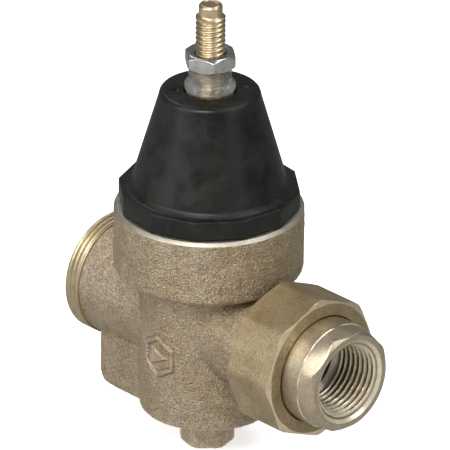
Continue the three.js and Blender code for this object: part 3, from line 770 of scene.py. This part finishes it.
def tapped_bore(mouth, inward, length, plain):
    """The outline of a female pipe thread: countersunk mouth, tapered thread, a relief beyond
    it, and the plain bore."""
    cone = PIPE_MOUTH_R - PIPE_ROOT_R
    deep = PIPE_ROOT_R - PIPE_CREST_R
    rows = [(PIPE_MOUTH_R, mouth), (PIPE_ROOT_R, mouth + inward * cone)]
    for i in range(1, 17):
        fall = deep * i / 16
        rows.append((PIPE_ROOT_R - fall, mouth + inward * (cone + LEAD_IN * fall), -fall, PIPE_PITCH))
    start = mouth + inward * (cone + LEAD_IN * deep)
    end = mouth + inward * length
    for i in range(1, THREAD_ROWS + 1):
        t = i / THREAD_ROWS
        fade = min(1.0, (1 - t) * 8)
        rows.append((PIPE_CREST_R - PIPE_TAPER * t, start + (end - start) * t, -deep * fade, PIPE_PITCH))
    relief = PIPE_RELIEF_R - PIPE_BORE_R
    rows += [(PIPE_RELIEF_R, end + inward * 0.4), (PIPE_RELIEF_R, end + inward * 0.9)]
    return rows + [(PIPE_BORE_R, end + inward * (0.9 + relief)), (PIPE_BORE_R, plain)]


def union_thread(start, end):
    """Outline points of the coarse outside thread that a union nut runs on."""
    return thread_rows(start, end, THREAD_R, THREAD_DEPTH, UNION_PITCH)


def place_turned(piece, finish="bright_bronze"):
    place(shade(piece, 50), "valve_casing", "valve_body", "satin_bronze", finish)


def fixed_port():
    sleeve, shoulder = FIXED_SLEEVE_R + PRESS, THREAD_R - 0.25
    outside = [(THREAD_R - 0.35, FIXED_FACE_X)] + union_thread(FIXED_FACE_X + 0.3, COLLAR_X - 0.1)
    outline = tapped_bore(FIXED_FACE_X, 1, FIXED_THREAD_LENGTH, FIXED_SLEEVE_X)
    outline += [(sleeve, FIXED_SLEEVE_X), (sleeve, COLLAR_X), (shoulder, COLLAR_X)] + outside[::-1]
    place_turned(turned("fixed_port_thread", outline, "X", 144))


def union_port():
    low, high, start = UNION_THREAD_X, UNION_FACE_X, THREAD_R - 0.9
    sleeve = UNION_SLEEVE_R + PRESS
    outline = [(PIPE_BORE_R, UNION_SLEEVE_X), (sleeve, UNION_SLEEVE_X), (sleeve, low), (start, low)]
    outline += union_thread(low + 0.5, high - 0.7) + [(start, high), (PIPE_BORE_R, high)]
    place_turned(turned("union_port_thread", outline, "X", 144))


def head_rim():
    """The turned face of the head that the cage's flange stands over."""
    low, high, outer = RIM_Z - RIM_HEIGHT - 0.1, RIM_Z, HEAD_R - 0.02
    outline = soften([
        (CAGE_THREAD_R, low), (outer, low), (outer, high - 0.9), (HEAD_R - 0.95, high),
        (CAGE_THREAD_R + 0.4, high), (CAGE_THREAD_R, high - 0.3), (CAGE_THREAD_R, low)], 0.12)
    place_turned(turned("head_rim", outline[:-1], sides=160), "rim_bronze")


def ring_piece(name, body, node, slot, outline, axis="Z", sides=96, rounding=0.25, crisp=40):
    """A turned ring in place of a CAD node. Its outline is closed on the first point."""
    piece = turned(name, soften(outline + [outline[0]], rounding)[:-1], axis, sides)
    place(shade(piece, crisp), body, node, slot)


# ---- spring cage ----
FLANGE_SIDES = 12
FLANGE_TURN = math.radians(7.7)
FLANGE_FLAT = 25.6 * math.cos(math.pi / FLANGE_SIDES)
FLANGE_TOP_Z = 79.0
CONE_BASE_R = 21.9
CONE_TOP_R = 14.1
CAGE_TOP_Z = CAGE_HIGH.z
CROWN_R = 11.7
CROWN_FLOOR_Z = 104.9
CAGE_HOLE_R = 7.3
SKIRT_BORE_R = 20.8
SKIRT_R = CAGE_THREAD_R - 0.3
DIMPLE = [(0, 107.95), (0.4, 107.98), (0.8, 108.12), (1.1, 108.38), (1.25, 109), (0, 109)]
DIMPLE_CIRCLE_R = 9.6
DIMPLE_START = -36


def cage_reshape(angle, radius, height):
    flat = polygon_radius(angle, FLANGE_SIDES, 1.0, 0.03, FLANGE_TURN)
    return np.where(radius > 23.9, radius * flat, radius)


def spring_cage():
    slope = (CONE_BASE_R - CONE_TOP_R) / (CAGE_TOP_Z - 1.2 - FLANGE_TOP_Z - 1)
    cone = [(CONE_BASE_R - slope * d, FLANGE_TOP_Z + 1 + d) for d in np.linspace(1.2, 25.8, 14)]
    outline = soften([
        (CROWN_R, CROWN_FLOOR_Z), (CAGE_HOLE_R, CROWN_FLOOR_Z, 0.1), (CAGE_HOLE_R, CAGE_TOP_Z, 0.35),
        (CONE_TOP_R - 0.2, CAGE_TOP_Z, 1.5), *[(*p, 0.05) for p in cone[::-1]],
        (CONE_BASE_R - 0.15, FLANGE_TOP_Z + 1.2, 1.6), (23.0, FLANGE_TOP_Z, 0.5),
        (FLANGE_FLAT, FLANGE_TOP_Z, 0.45), (FLANGE_FLAT, FLANGE_BOTTOM_Z + 0.02, 0.5),
        (SKIRT_R, FLANGE_BOTTOM_Z - 0.1, 0.1), (SKIRT_R, CAGE_LOW.z, 0.4),
        (SKIRT_BORE_R, CAGE_LOW.z, 0.3), (SKIRT_BORE_R, FLANGE_BOTTOM_Z, 1.0),
        (19.0, FLANGE_TOP_Z, 1.0), (CROWN_R, CROWN_FLOOR_Z),
    ], 0.3, 4)
    angles = polygon_angles(FLANGE_SIDES, 1.0, 0.03, FLANGE_TURN, per_flat=10, per_corner=4)
    cage = turned("cage_moulding", outline[:-1], angles=angles, reshape=cage_reshape)
    for k in range(4):
        dimple = turned("dimple", DIMPLE, sides=24)
        turn = math.radians(DIMPLE_START + 90 * k)
        shift(dimple, DIMPLE_CIRCLE_R * math.cos(turn), DIMPLE_CIRCLE_R * math.sin(turn))
        combine(cage, [dimple], "DIFFERENCE")
    bevel(cage, 0.12, 2, 50)
    place(shade(cage, 42), "valve_casing", "spring_cage", "black_plastic")


def cage_insert():
    low = extent("cage_thread_insert")[0].z
    ring_piece("insert_nut", "valve_casing", "cage_thread_insert", "brass", [
        (4.3, low + 1), (4.3, low), (9, low), (9, 104.6), (6.7, 104.6), (6.7, 107.6), (4.3, 107.6),
    ], sides=64, rounding=0.3)


def seal_sleeve():
    low, high = SLEEVE_LOW.z, SLEEVE_HIGH.z
    ring_piece("sleeve_moulding", "valve_casing", "seal_sleeve", "nylon", [
        (4.3, low + 2), (4.3, low, 0.1), (7.05, low, 0.15), (7.15, low + 0.3, 0.2), (7.15, low + 1.6, 0.4),
        (6.7, low + 2.1, 0.5), (6.05, low + 2.6, 0.6), (6.0, high - 0.5, 0.2), (5.9, high, 0.2),
        (4.3, high, 0.1)], rounding=0.2, crisp=45)


# ---- adjusting screw ----
LOCK_TURN = math.radians(-35.4)
LOCK_FLAT = 6.6
SCREW_HOLE_R = 4.3
SCREW_CREST_R = 4.2
SCREW_TIP_R = 3.35
SCREW_THREAD_DEPTH = 0.72
SCREW_THREAD_TOP_Z = 131.0
HEX_ROUNDING = 0.35
HEX_FACE_EDGE = 0.25
HEX_CONE_ANGLE = math.radians(36)
HEX_MOUTH = 0.7


def adjusting_screw():
    low, high, thread_top, tip = SCREW_LOW.z, SCREW_HIGH.z, SCREW_THREAD_TOP_Z, SCREW_TIP_R
    outline = soften([(0, low), (3.2, low), (3.9, low + 0.8)], 0.2)
    outline += thread_rows(
        low + 1, thread_top - 0.5, SCREW_CREST_R, SCREW_THREAD_DEPTH, SCREW_PITCH, fade=0.5)
    outline += soften([
        (3.8, thread_top - 0.2), (tip, thread_top + 0.25), (tip, high - 0.65, 0.2),
        (tip - 0.6, high, 0.25), (2.45, high, 0.15), (2.2, high - 0.3, 0.3), (0, high - 0.45)], 0.2)
    screw = turned("adjusting_thread", outline)
    place(shade(screw, 45), "screw", "adjusting_screw", "brass")


def hex_nut(name, body, node, slot, flat, hole, turn=0.0):
    """A hexagon nut, its corners taken down by a cone at both ends, with a chamfered hole."""
    low, high = (corner.z for corner in extent(node))
    corner, face, mouth = flat / math.cos(math.pi / 6), flat - HEX_FACE_EDGE, hole + HEX_MOUTH
    drop = (corner - flat + HEX_FACE_EDGE) * math.tan(HEX_CONE_ANGLE)
    nut = prism(name, polygon(6, flat, HEX_ROUNDING, turn), low, high)
    cone = turned("cone", stepped(
        (face, low), (corner + 0.05, low + drop, high - drop), (face, high)))
    combine(nut, [cone], "INTERSECT")
    bore = turned("bore", stepped(
        (mouth, low - 1, low), (hole, low + HEX_MOUTH, high - HEX_MOUTH), (mouth, high, high + 1),
    ), sides=64)
    combine(nut, [bore], "DIFFERENCE")
    bevel(nut, 0.12, 3, 20)
    place(shade(nut, 25), body, node, slot)


# ---- range spring ----
SPRING_R = 8.8
SPRING_WIRE_R = 1.5
SPRING_TURNS = 5
SPRING_LOW_Z = 68.1
SPRING_HIGH_Z = 91.6
SPRING_ROWS = 220


def dress_soft(piece, node, slot):
    """Gives a piece its finish and smooth shading, and hides the CAD node that it stands for."""
    piece.data.materials.append(FINISHES[slot])
    shade(piece, 60)
    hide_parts(node)


def spring_half(name, first, last):
    """Part of the coil, from one share of its length to another, as a tube along its centre line."""
    shares = np.linspace(first, last, round(SPRING_ROWS * (last - first)))
    angle = shares * SPRING_TURNS * 2 * math.pi
    outward = np.stack([np.cos(angle), np.sin(angle), 0 * angle], -1)
    up = np.array([0, 0, 1.0])
    heights = SPRING_LOW_Z + (SPRING_HIGH_Z - SPRING_LOW_Z) * shares
    centre = SPRING_R * outward + heights[:, None] * up
    around = np.linspace(0, 2 * math.pi, 20, endpoint=False)[None, :, None]
    wire = outward[:, None, :] * np.cos(around) + up * np.sin(around)
    half = from_grid(name, centre[:, None, :] + wire * SPRING_WIRE_R, centre[0], centre[-1])
    dress_soft(half, "range_spring", "spring_steel")
    return half


def range_spring():
    """Two halves of the coil: one from the lower end to the middle, one from the middle to the upper end.
    """
    lower = spring_half("range_spring_lower", 0.0, 0.5)
    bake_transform(lower)
    upper = spring_half("range_spring_upper", 0.5, 1.0)
    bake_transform(upper)


# ---- pieces inside the casing ----
STRAINER_INNER_R = 12.4
STRAINER_OUTER_R = 13.1
STRAINER_ROWS = 3
STRAINER_HOLES = 24
STRAINER_HOLE_R = 0.85
STRAINER_ROW_Z = 18.5
STRAINER_ROW_STEP = 2.8
ROLL_INNER_R = 15.9
ROLL_OUTER_R = 19.5
ROLL_RISE = 1.3
RUBBER = 1.6


def o_ring(name, body, node, mean, section):
    low, high = extent(node)
    middle = (low.z + high.z) / 2
    outline = [(mean + section * math.cos(a), middle + section * math.sin(a))
               for a in np.linspace(0, 2 * math.pi, 16, endpoint=False)]
    place(shade(turned(name, outline)), body, node, "rubber")


def strainer():
    low, high = (corner.z for corner in extent("strainer_screen"))
    wall = turned("strainer_mesh", [
        (STRAINER_INNER_R, low), (STRAINER_OUTER_R, low), (STRAINER_OUTER_R, high),
        (STRAINER_INNER_R, high)])
    holes = []
    for row in range(STRAINER_ROWS):
        for k in range(STRAINER_HOLES):
            hole = rod("hole", STRAINER_HOLE_R, 11, 15, sides=12)
            hole.data.transform(Matrix.Rotation(HALF_PI, 4, "Y"))
            shift(hole, z=STRAINER_ROW_Z + STRAINER_ROW_STEP * row)
            turn = math.radians(360 / STRAINER_HOLES * (k + 0.5 * (row % 2)))
            hole.data.transform(Matrix.Rotation(turn, 4, "Z"))
            holes.append(hole)
    combine(wall, [join("holes", holes)], "DIFFERENCE")
    place(shade(wall, 40), "valve_casing", "strainer_screen", "stainless")


def diaphragm():
    """Moulded rubber, clamped at its edge."""
    low = extent("diaphragm")[0].z
    top = low + RUBBER
    outline = soften([
        (4, low), (ROLL_INNER_R, low, 1.0), (17.2, low + ROLL_RISE, 0.8), (18.2, low + ROLL_RISE, 0.8),
        (ROLL_OUTER_R, low, 0.8), (23.4, low, 0.2), (23.4, top, 0.2), (19.1, top, 0.8),
        (18.3, top + ROLL_RISE, 0.8), (17.1, top + ROLL_RISE, 0.8), (16.1, top, 1.0),
        (3.5, top, 0.2), (3.5, low, 0.2), (4, low)], 0.3)
    sheet = turned("diaphragm_rubber", outline[:-1])
    dress_soft(sheet, "diaphragm", "rubber")
    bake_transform(sheet)


def stem():
    outline = soften(stepped(
        (2, 6.5), (2.6, 7.2, 23), (3.8, 23, 56), (5.5, 57, 59.7), (3.2, 59.7, 74.4), (2.6, 75)), 0.25)
    place(shade(turned("stem_rod", outline, sides=64), 40), "valve_train", "valve_stem", "brass")


def inner_pieces():
    ring_piece("button_plate", "spring_carriage", "spring_button", "zinc_steel", [
        (3, 90), (5.9, 90), (6.5, 90.8), (6.5, 93.5), (10.3, 93.5), (10.3, 95.6), (9.4, 96.5), (3, 96.5)])
    ring_piece("slip_washer", "valve_casing", "slip_ring", "fibre", [
        (20.1, 64.2), (23.4, 64.2), (23.4, 66), (20.1, 66)])
    ring_piece("pressure_plate", "valve_train", "diaphragm_plate", "zinc_steel", [
        (3.5, 64.2), (15.3, 64.2), (15.3, 66.2), (6.5, 66.2), (6.5, 68.5), (3.5, 68.5)])
    ring_piece("pressure_washer", "valve_train", "diaphragm_washer", "brass", [
        (3.5, 60), (14.5, 60), (14.5, 62), (3.5, 62)])
    stem()
    ring_piece("seat_insert", "valve_casing", "seat_ring", "stainless", [
        (6.5, 26), (7.4, 26), (8, 27), (9.7, 27), (9.7, 31.3), (SEAT_R, 31.3), (SEAT_R, 33.4),
        (7.4, 33.4), (6.5, 32.4)])
    ring_piece("disc_cup", "valve_train", "disc_holder", "brass", [
        (2.9, 17.7), (7.8, 17.7), (9, 18.7), (9, 22), (8.4, 22), (8.4, 20.4), (2.9, 20.4)])
    ring_piece("disc_rubber", "valve_train", "seat_disc", "rubber", [
        (2.9, 20.7), (8.1, 20.7), (8.1, 22.7), (2.9, 22.7)])
    ring_piece("bushing", "valve_casing", "guide_bushing", "nylon", [
        (2.9, 9), (3.9, 9), (3.9, 15.2), (2.9, 15.2)], rounding=0.15)
    o_ring("seat_ring_seal", "valve_casing", "seat_oring", 10.9, 0.5)
    o_ring("stem_seal", "valve_casing", "stem_oring", 3.45, 0.5)
    strainer()
    diaphragm()
    range_spring()


# ---- union ----
NUT_FLAT = 19.5
NUT_CORNER_ROUNDING = 4.0
NUT_FACE_R = 18.7
NUT_FACE_X = 45.74
NUT_TURNED_R = 21.3
NUT_FACE_SLOPE = 0.3
NUT_THREAD_END_X = 42.6
NUT_SEAT_X = 43.3
TAIL_BARREL_R = 15.3
TAIL_FLANGE_R = 17.2
TAIL_FLANGE_X = 43.0
TAIL_SHOULDER_X = 51.9
TAIL_SHOULDER_R = 15.08
TAIL_END_FLAT = 13.75
TAIL_CORNER_ROUNDING = 2.2
TAIL_FACE_R = 13.7
TAIL_TURN = HALF_PI - math.pi / 8


def nut_reshape(angle, radius, height):
    octagon = polygon_radius(angle, 8, NUT_FLAT, NUT_CORNER_ROUNDING, HALF_PI)
    return np.where(radius > THREAD_R + 0.5, np.minimum(radius, octagon), radius)


def nut_thread(crest, start):
    """The nut's own thread, which fades out at both ends."""
    rows = []
    for x in np.linspace(start, NUT_THREAD_END_X, THREAD_ROWS):
        fade = min(1, abs(x - start) / 0.5, abs(NUT_THREAD_END_X - x) / 0.5)
        rows.append((crest, x, -THREAD_DEPTH * 0.9 * fade, UNION_PITCH))
    return rows


def union_nut():
    low, high = NUT_LOW.x, NUT_HIGH.x
    crest = THREAD_R + 0.12
    bore = TAIL_BARREL_R + 0.3
    outline = [(crest + 0.8, low)] + nut_thread(crest, low + 1)
    outline += [(crest, NUT_SEAT_X), (bore, NUT_SEAT_X)]
    outline += soften([(bore, NUT_SEAT_X + 0.1), (bore, high - 0.05, 0.25), (NUT_FACE_R, NUT_FACE_X, 0.1),
                       (NUT_FACE_R + 0.1, NUT_FACE_X - 0.1 * NUT_FACE_SLOPE)], 0.3, 5)
    cone = np.linspace(NUT_FACE_R + 0.2, NUT_TURNED_R, 22)
    outline += [(r, NUT_FACE_X - NUT_FACE_SLOPE * (r - NUT_FACE_R)) for r in cone]
    outline += [(NUT_TURNED_R, x) for x in (44.6, 44.0, 40.0, 35.0, 31.0, low + 1.4)]
    outline += [(NUT_TURNED_R - 1.9 * t, low + 1.1 * (1 - t)) for t in np.linspace(0, 1, 8)]
    angles = polygon_angles(8, NUT_FLAT, NUT_CORNER_ROUNDING, HALF_PI, per_flat=10, per_corner=10)
    nut = turned("nut_casting", outline, "X", angles=angles, reshape=nut_reshape)
    place(shade(nut, 13), "union_ring", "union_nut", "nut_bronze")
    paint_nut(nut)


def tail_reshape(angle, radius, height):
    """Round at the shoulder and drawn in to an octagon at the end, where a cone takes its
    corners down. The barrel behind the shoulder stands proud of it at the corners."""
    share = np.clip((height - TAIL_SHOULDER_X) / (TAIL_HIGH.x - TAIL_SHOULDER_X), 0, 1) ** 1.5
    end = polygon_radius(angle, 8, TAIL_END_FLAT, TAIL_CORNER_ROUNDING, TAIL_TURN)
    step = TAIL_BARREL_R - TAIL_SHOULDER_R
    front = TAIL_SHOULDER_R + (end - TAIL_SHOULDER_R) * share
    front = front + np.maximum(0, step - (height - TAIL_SHOULDER_X))
    back = polygon_radius(angle, 8, TAIL_SHOULDER_R, 0.3, TAIL_TURN)
    cone = TAIL_FACE_R + 1.05 * (TAIL_HIGH.x - height)
    drawn = np.minimum(np.minimum(back, front), cone)
    outside = (height > TAIL_FLANGE_X + 0.5) & (radius > TAIL_FACE_R + 0.05)
    return np.where(outside, np.minimum(radius, drawn), radius)


def union_tailpiece():
    low, high = TAIL_LOW.x, TAIL_HIGH.x
    bore = tapped_bore(high, -1, TAIL_THREAD_LENGTH, low)
    outside = soften([
        (PIPE_BORE_R, low), (TAIL_FLANGE_R, low, 0.3), (TAIL_FLANGE_R, TAIL_FLANGE_X, 0.3),
        (TAIL_BARREL_R, TAIL_FLANGE_X, 0.2), (TAIL_BARREL_R, TAIL_SHOULDER_X - 1)], 0.3, 4)
    heights = [*np.linspace(TAIL_SHOULDER_X - 0.3, TAIL_SHOULDER_X + 0.3, 11),
               *np.linspace(TAIL_SHOULDER_X + 0.8, high - 1.7, 7),
               *np.linspace(high - 1.4, high - 0.04, 26)]
    barrel = [(TAIL_BARREL_R, x) for x in heights]
    face = [(TAIL_FACE_R, high), ((TAIL_FACE_R + PIPE_MOUTH_R) / 2, high), (PIPE_MOUTH_R + 0.12, high)]
    outline = outside + barrel + face + bore[:-1]
    angles = polygon_angles(8, TAIL_END_FLAT, TAIL_CORNER_ROUNDING, TAIL_TURN, per_flat=10, per_corner=12)
    tail = turned("tail_fitting", outline, "X", angles=angles, reshape=tail_reshape)
    shade(tail, 25)
    place(tail, "union_end", "union_tailpiece", "satin_bronze")
    paint_bore(tail)


def from_axis(face):
    return math.hypot(face.center.y, face.center.z - FLOW_Z * MM) / MM


def paint_bore(piece):
    """Gives the tapped bore its freshly cut finish, made brighter as a painted highlight, with painted
    shade in the roots of the thread.
    """
    piece.data.materials.append(FINISHES["cut_bronze_and_highlight"])
    piece.data.materials.append(FINISHES["thread_root_shade"])
    for face in piece.data.polygons:
        radius = from_axis(face)
        root = PIPE_ROOT_R - 0.55 - 0.05 * (TAIL_HIGH.x - face.center.x / MM)
        past_shoulder = face.center.x / MM - TAIL_SHOULDER_X
        # Painted highlight on the bore's faces, painted shade in the thread roots.
        if radius < PIPE_MOUTH_R + 0.1:
            face.material_index = 2 if root < radius < PIPE_ROOT_R + 0.1 else 1
        # Painted highlight: the narrow ledge just past the shoulder takes the bright cut finish.
        elif 0 < past_shoulder < 0.25 and face.normal.x > 0.5:
            face.material_index = 1


def paint_nut(piece):
    """The turned cone on the front of the nut is brighter than the cast flats: a turned finish with a
    painted highlight.
    """
    piece.data.materials.append(FINISHES["turned_cone_and_highlight"])
    for face in piece.data.polygons:
        on_cone = face.normal.x > 0.8 and from_axis(face) > NUT_FACE_R + 0.25
        face.material_index = 1 if on_cone else 0


def union_gasket():
    low, high = (corner.x for corner in extent("union_gasket"))
    inner = PIPE_BORE_R + 0.4
    ring_piece("gasket_ring", "valve_casing", "union_gasket", "fibre", [
        (12, low), (16.2, low), (16.2, high), (inner, high), (inner, low)], "X", rounding=0.3)


# ---- floor, light and camera ----
CAMERA_AZIMUTH = 46.553
CAMERA_ELEVATION = 25.807
CAMERA_ROLL = 0.505
CAMERA_DISTANCE = 3852.13
CAMERA_LENS = 1118.1
CAMERA_TARGET = Vector((29.85, -22.12, 84.25))
FLOOR_HALF = 6000.0
# Where each stands from the camera (azimuth, elevation), its distance, size and power.
SOFTBOXES = {
    "left_box": (-64, 26, 900, (340, 620), 2.9),
    "right_box": (60, 38, 900, (240, 520), 1.6),
    "left_low": (-53, 6, 900, (200, 300), 0.12),
    "right_low": (43, 6, 900, (200, 300), 0.3),
    "front_box": (-16, 48, 1000, (400, 400), 7.0),
    "fill_box": (-34, 30, 1000, (260, 240), 1.3),
    "back_box": (-146, 52, 900, (300, 300), 1.0),
    "over_box": (100, 62, 900, (300, 300), 1.6),
}


def camera_axes():
    """The camera's right, up and back directions."""
    azimuth, elevation, roll = (math.radians(a) for a in (CAMERA_AZIMUTH, CAMERA_ELEVATION, CAMERA_ROLL))
    right = Vector((math.cos(azimuth), math.sin(azimuth), 0))
    back = Vector((math.sin(azimuth) * math.cos(elevation), -math.cos(azimuth) * math.cos(elevation),
                   math.sin(elevation)))
    up = back.cross(right)
    turned_right = right * math.cos(roll) + up * math.sin(roll)
    turned_up = up * math.cos(roll) - right * math.sin(roll)
    return turned_right, turned_up, back


def camera():
    right, up, back = camera_axes()
    data = bpy.data.cameras.new("camera")
    data.lens = CAMERA_LENS
    data.sensor_width = 36
    data.clip_start, data.clip_end = 0.1, 20
    holder = bpy.data.objects.new("camera", data)
    bpy.context.scene.collection.objects.link(holder)
    where = (CAMERA_TARGET + back * CAMERA_DISTANCE) * MM
    rows = [(right[i], up[i], back[i], where[i]) for i in range(3)]
    holder.matrix_world = Matrix(rows + [(0, 0, 0, 1)])
    bpy.context.scene.camera = holder


def aim(azimuth, elevation):
    """A direction at angles from the camera's own: azimuth positive to its right, then up."""
    turn, rise = math.radians(CAMERA_AZIMUTH + azimuth), math.radians(elevation)
    return math.sin(turn) * math.cos(rise), -math.cos(turn) * math.cos(rise), math.sin(rise)


def softbox(name, direction, distance, size, power):
    """A soft rectangular light that faces the middle of the object."""
    data = bpy.data.lights.new(name, "AREA")
    data.shape = "RECTANGLE"
    data.size, data.size_y = size[0] * MM, size[1] * MM
    data.energy = power
    light = bpy.data.objects.new(name, data)
    bpy.context.scene.collection.objects.link(light)
    middle = Vector((0, 0, 65)) * MM
    way = Vector(direction).normalized()
    light.location = middle + way * distance * MM
    light.rotation_mode = "QUATERNION"
    light.rotation_quaternion = way.to_track_quat("Z", "Y")


def studio():
    world = bpy.data.worlds.new("studio")
    world.use_nodes = True
    background = world.node_tree.nodes["Background"]
    background.inputs["Color"].default_value = (1, 1, 1, 1)
    background.inputs["Strength"].default_value = 0.17
    bpy.context.scene.world = world
    for name, (azimuth, elevation, distance, size, power) in SOFTBOXES.items():
        softbox(name, aim(azimuth, elevation), distance, size, power)


def floor():
    """A pale floor, wide enough to fill every view. The camera sees it plain and pale; to every other ray
    it is dim and glows with painted light, brightest round the foot and rising towards one side.
    """
    half = FLOOR_HALF * MM
    corners = [(-half, -half, 0), (half, -half, 0), (half, half, 0), (-half, half, 0)]
    mesh = bpy.data.meshes.new("floor")
    mesh.from_pydata(corners, [], [(0, 1, 2, 3)])
    plane = link("floor", mesh)
    finish = Finish("floor_paint", roughness=0.9)
    cloud = finish.noise(60.0, detail=2)
    seen = finish.node("LightPath").outputs["Is Camera Ray"]
    pale = finish.ramp(cloud, [(0.3, 0.93), (0.7, 0.95)])
    finish.colour(finish.mix(seen, (0.18, 0.175, 0.17), pale))
    # Painted light for rays other than the camera's: a glowing pool round the foot, and a glow that rises
    # towards one side.
    away = finish.node("VectorMath")
    away.operation = "LENGTH"
    finish.join(finish.coords, away.inputs[0])
    reach = finish.remap(away.outputs["Value"], 16 * MM, 30 * MM, 0, 1)
    across = finish.node("VectorMath")
    across.operation = "DOT_PRODUCT"
    across.inputs[1].default_value = aim(-20, 0)
    finish.join(finish.coords, across.inputs[0])
    side = finish.remap(across.outputs["Value"], -120 * MM, 120 * MM, 0, 1)
    beyond = finish.ramp(side, [(0.0, (0.1, 0.098, 0.096)), (1.0, (0.38, 0.375, 0.365))])
    painted_bounce_glow = finish.mix(reach, (0.74, 0.73, 0.71), beyond)
    finish.join(finish.mix(seen, painted_bounce_glow, (0.62, 0.62, 0.62)), finish.shader.inputs["Emission Color"])
    set_inputs(finish.shader, {"Emission_Strength": 1.0})
    mesh.materials.append(finish.material)


body_casting()
fixed_port()
union_port()
head_rim()
spring_cage()
cage_insert()
seal_sleeve()
adjusting_screw()
hex_nut("jam_hexagon", "jam_nut", "lock_nut", "zinc_steel", LOCK_FLAT, SCREW_HOLE_R, LOCK_TURN)
hex_nut("stem_hexagon", "valve_train", "stem_nut", "zinc_steel", 5.5, 3.5)
hex_nut("disc_hexagon", "valve_train", "disc_nut", "stainless", 4.0, 2.9)
inner_pieces()
union_nut()
union_tailpiece()
union_gasket()
floor()
studio()
camera()
bpy.context.scene.view_settings.view_transform = "Standard"
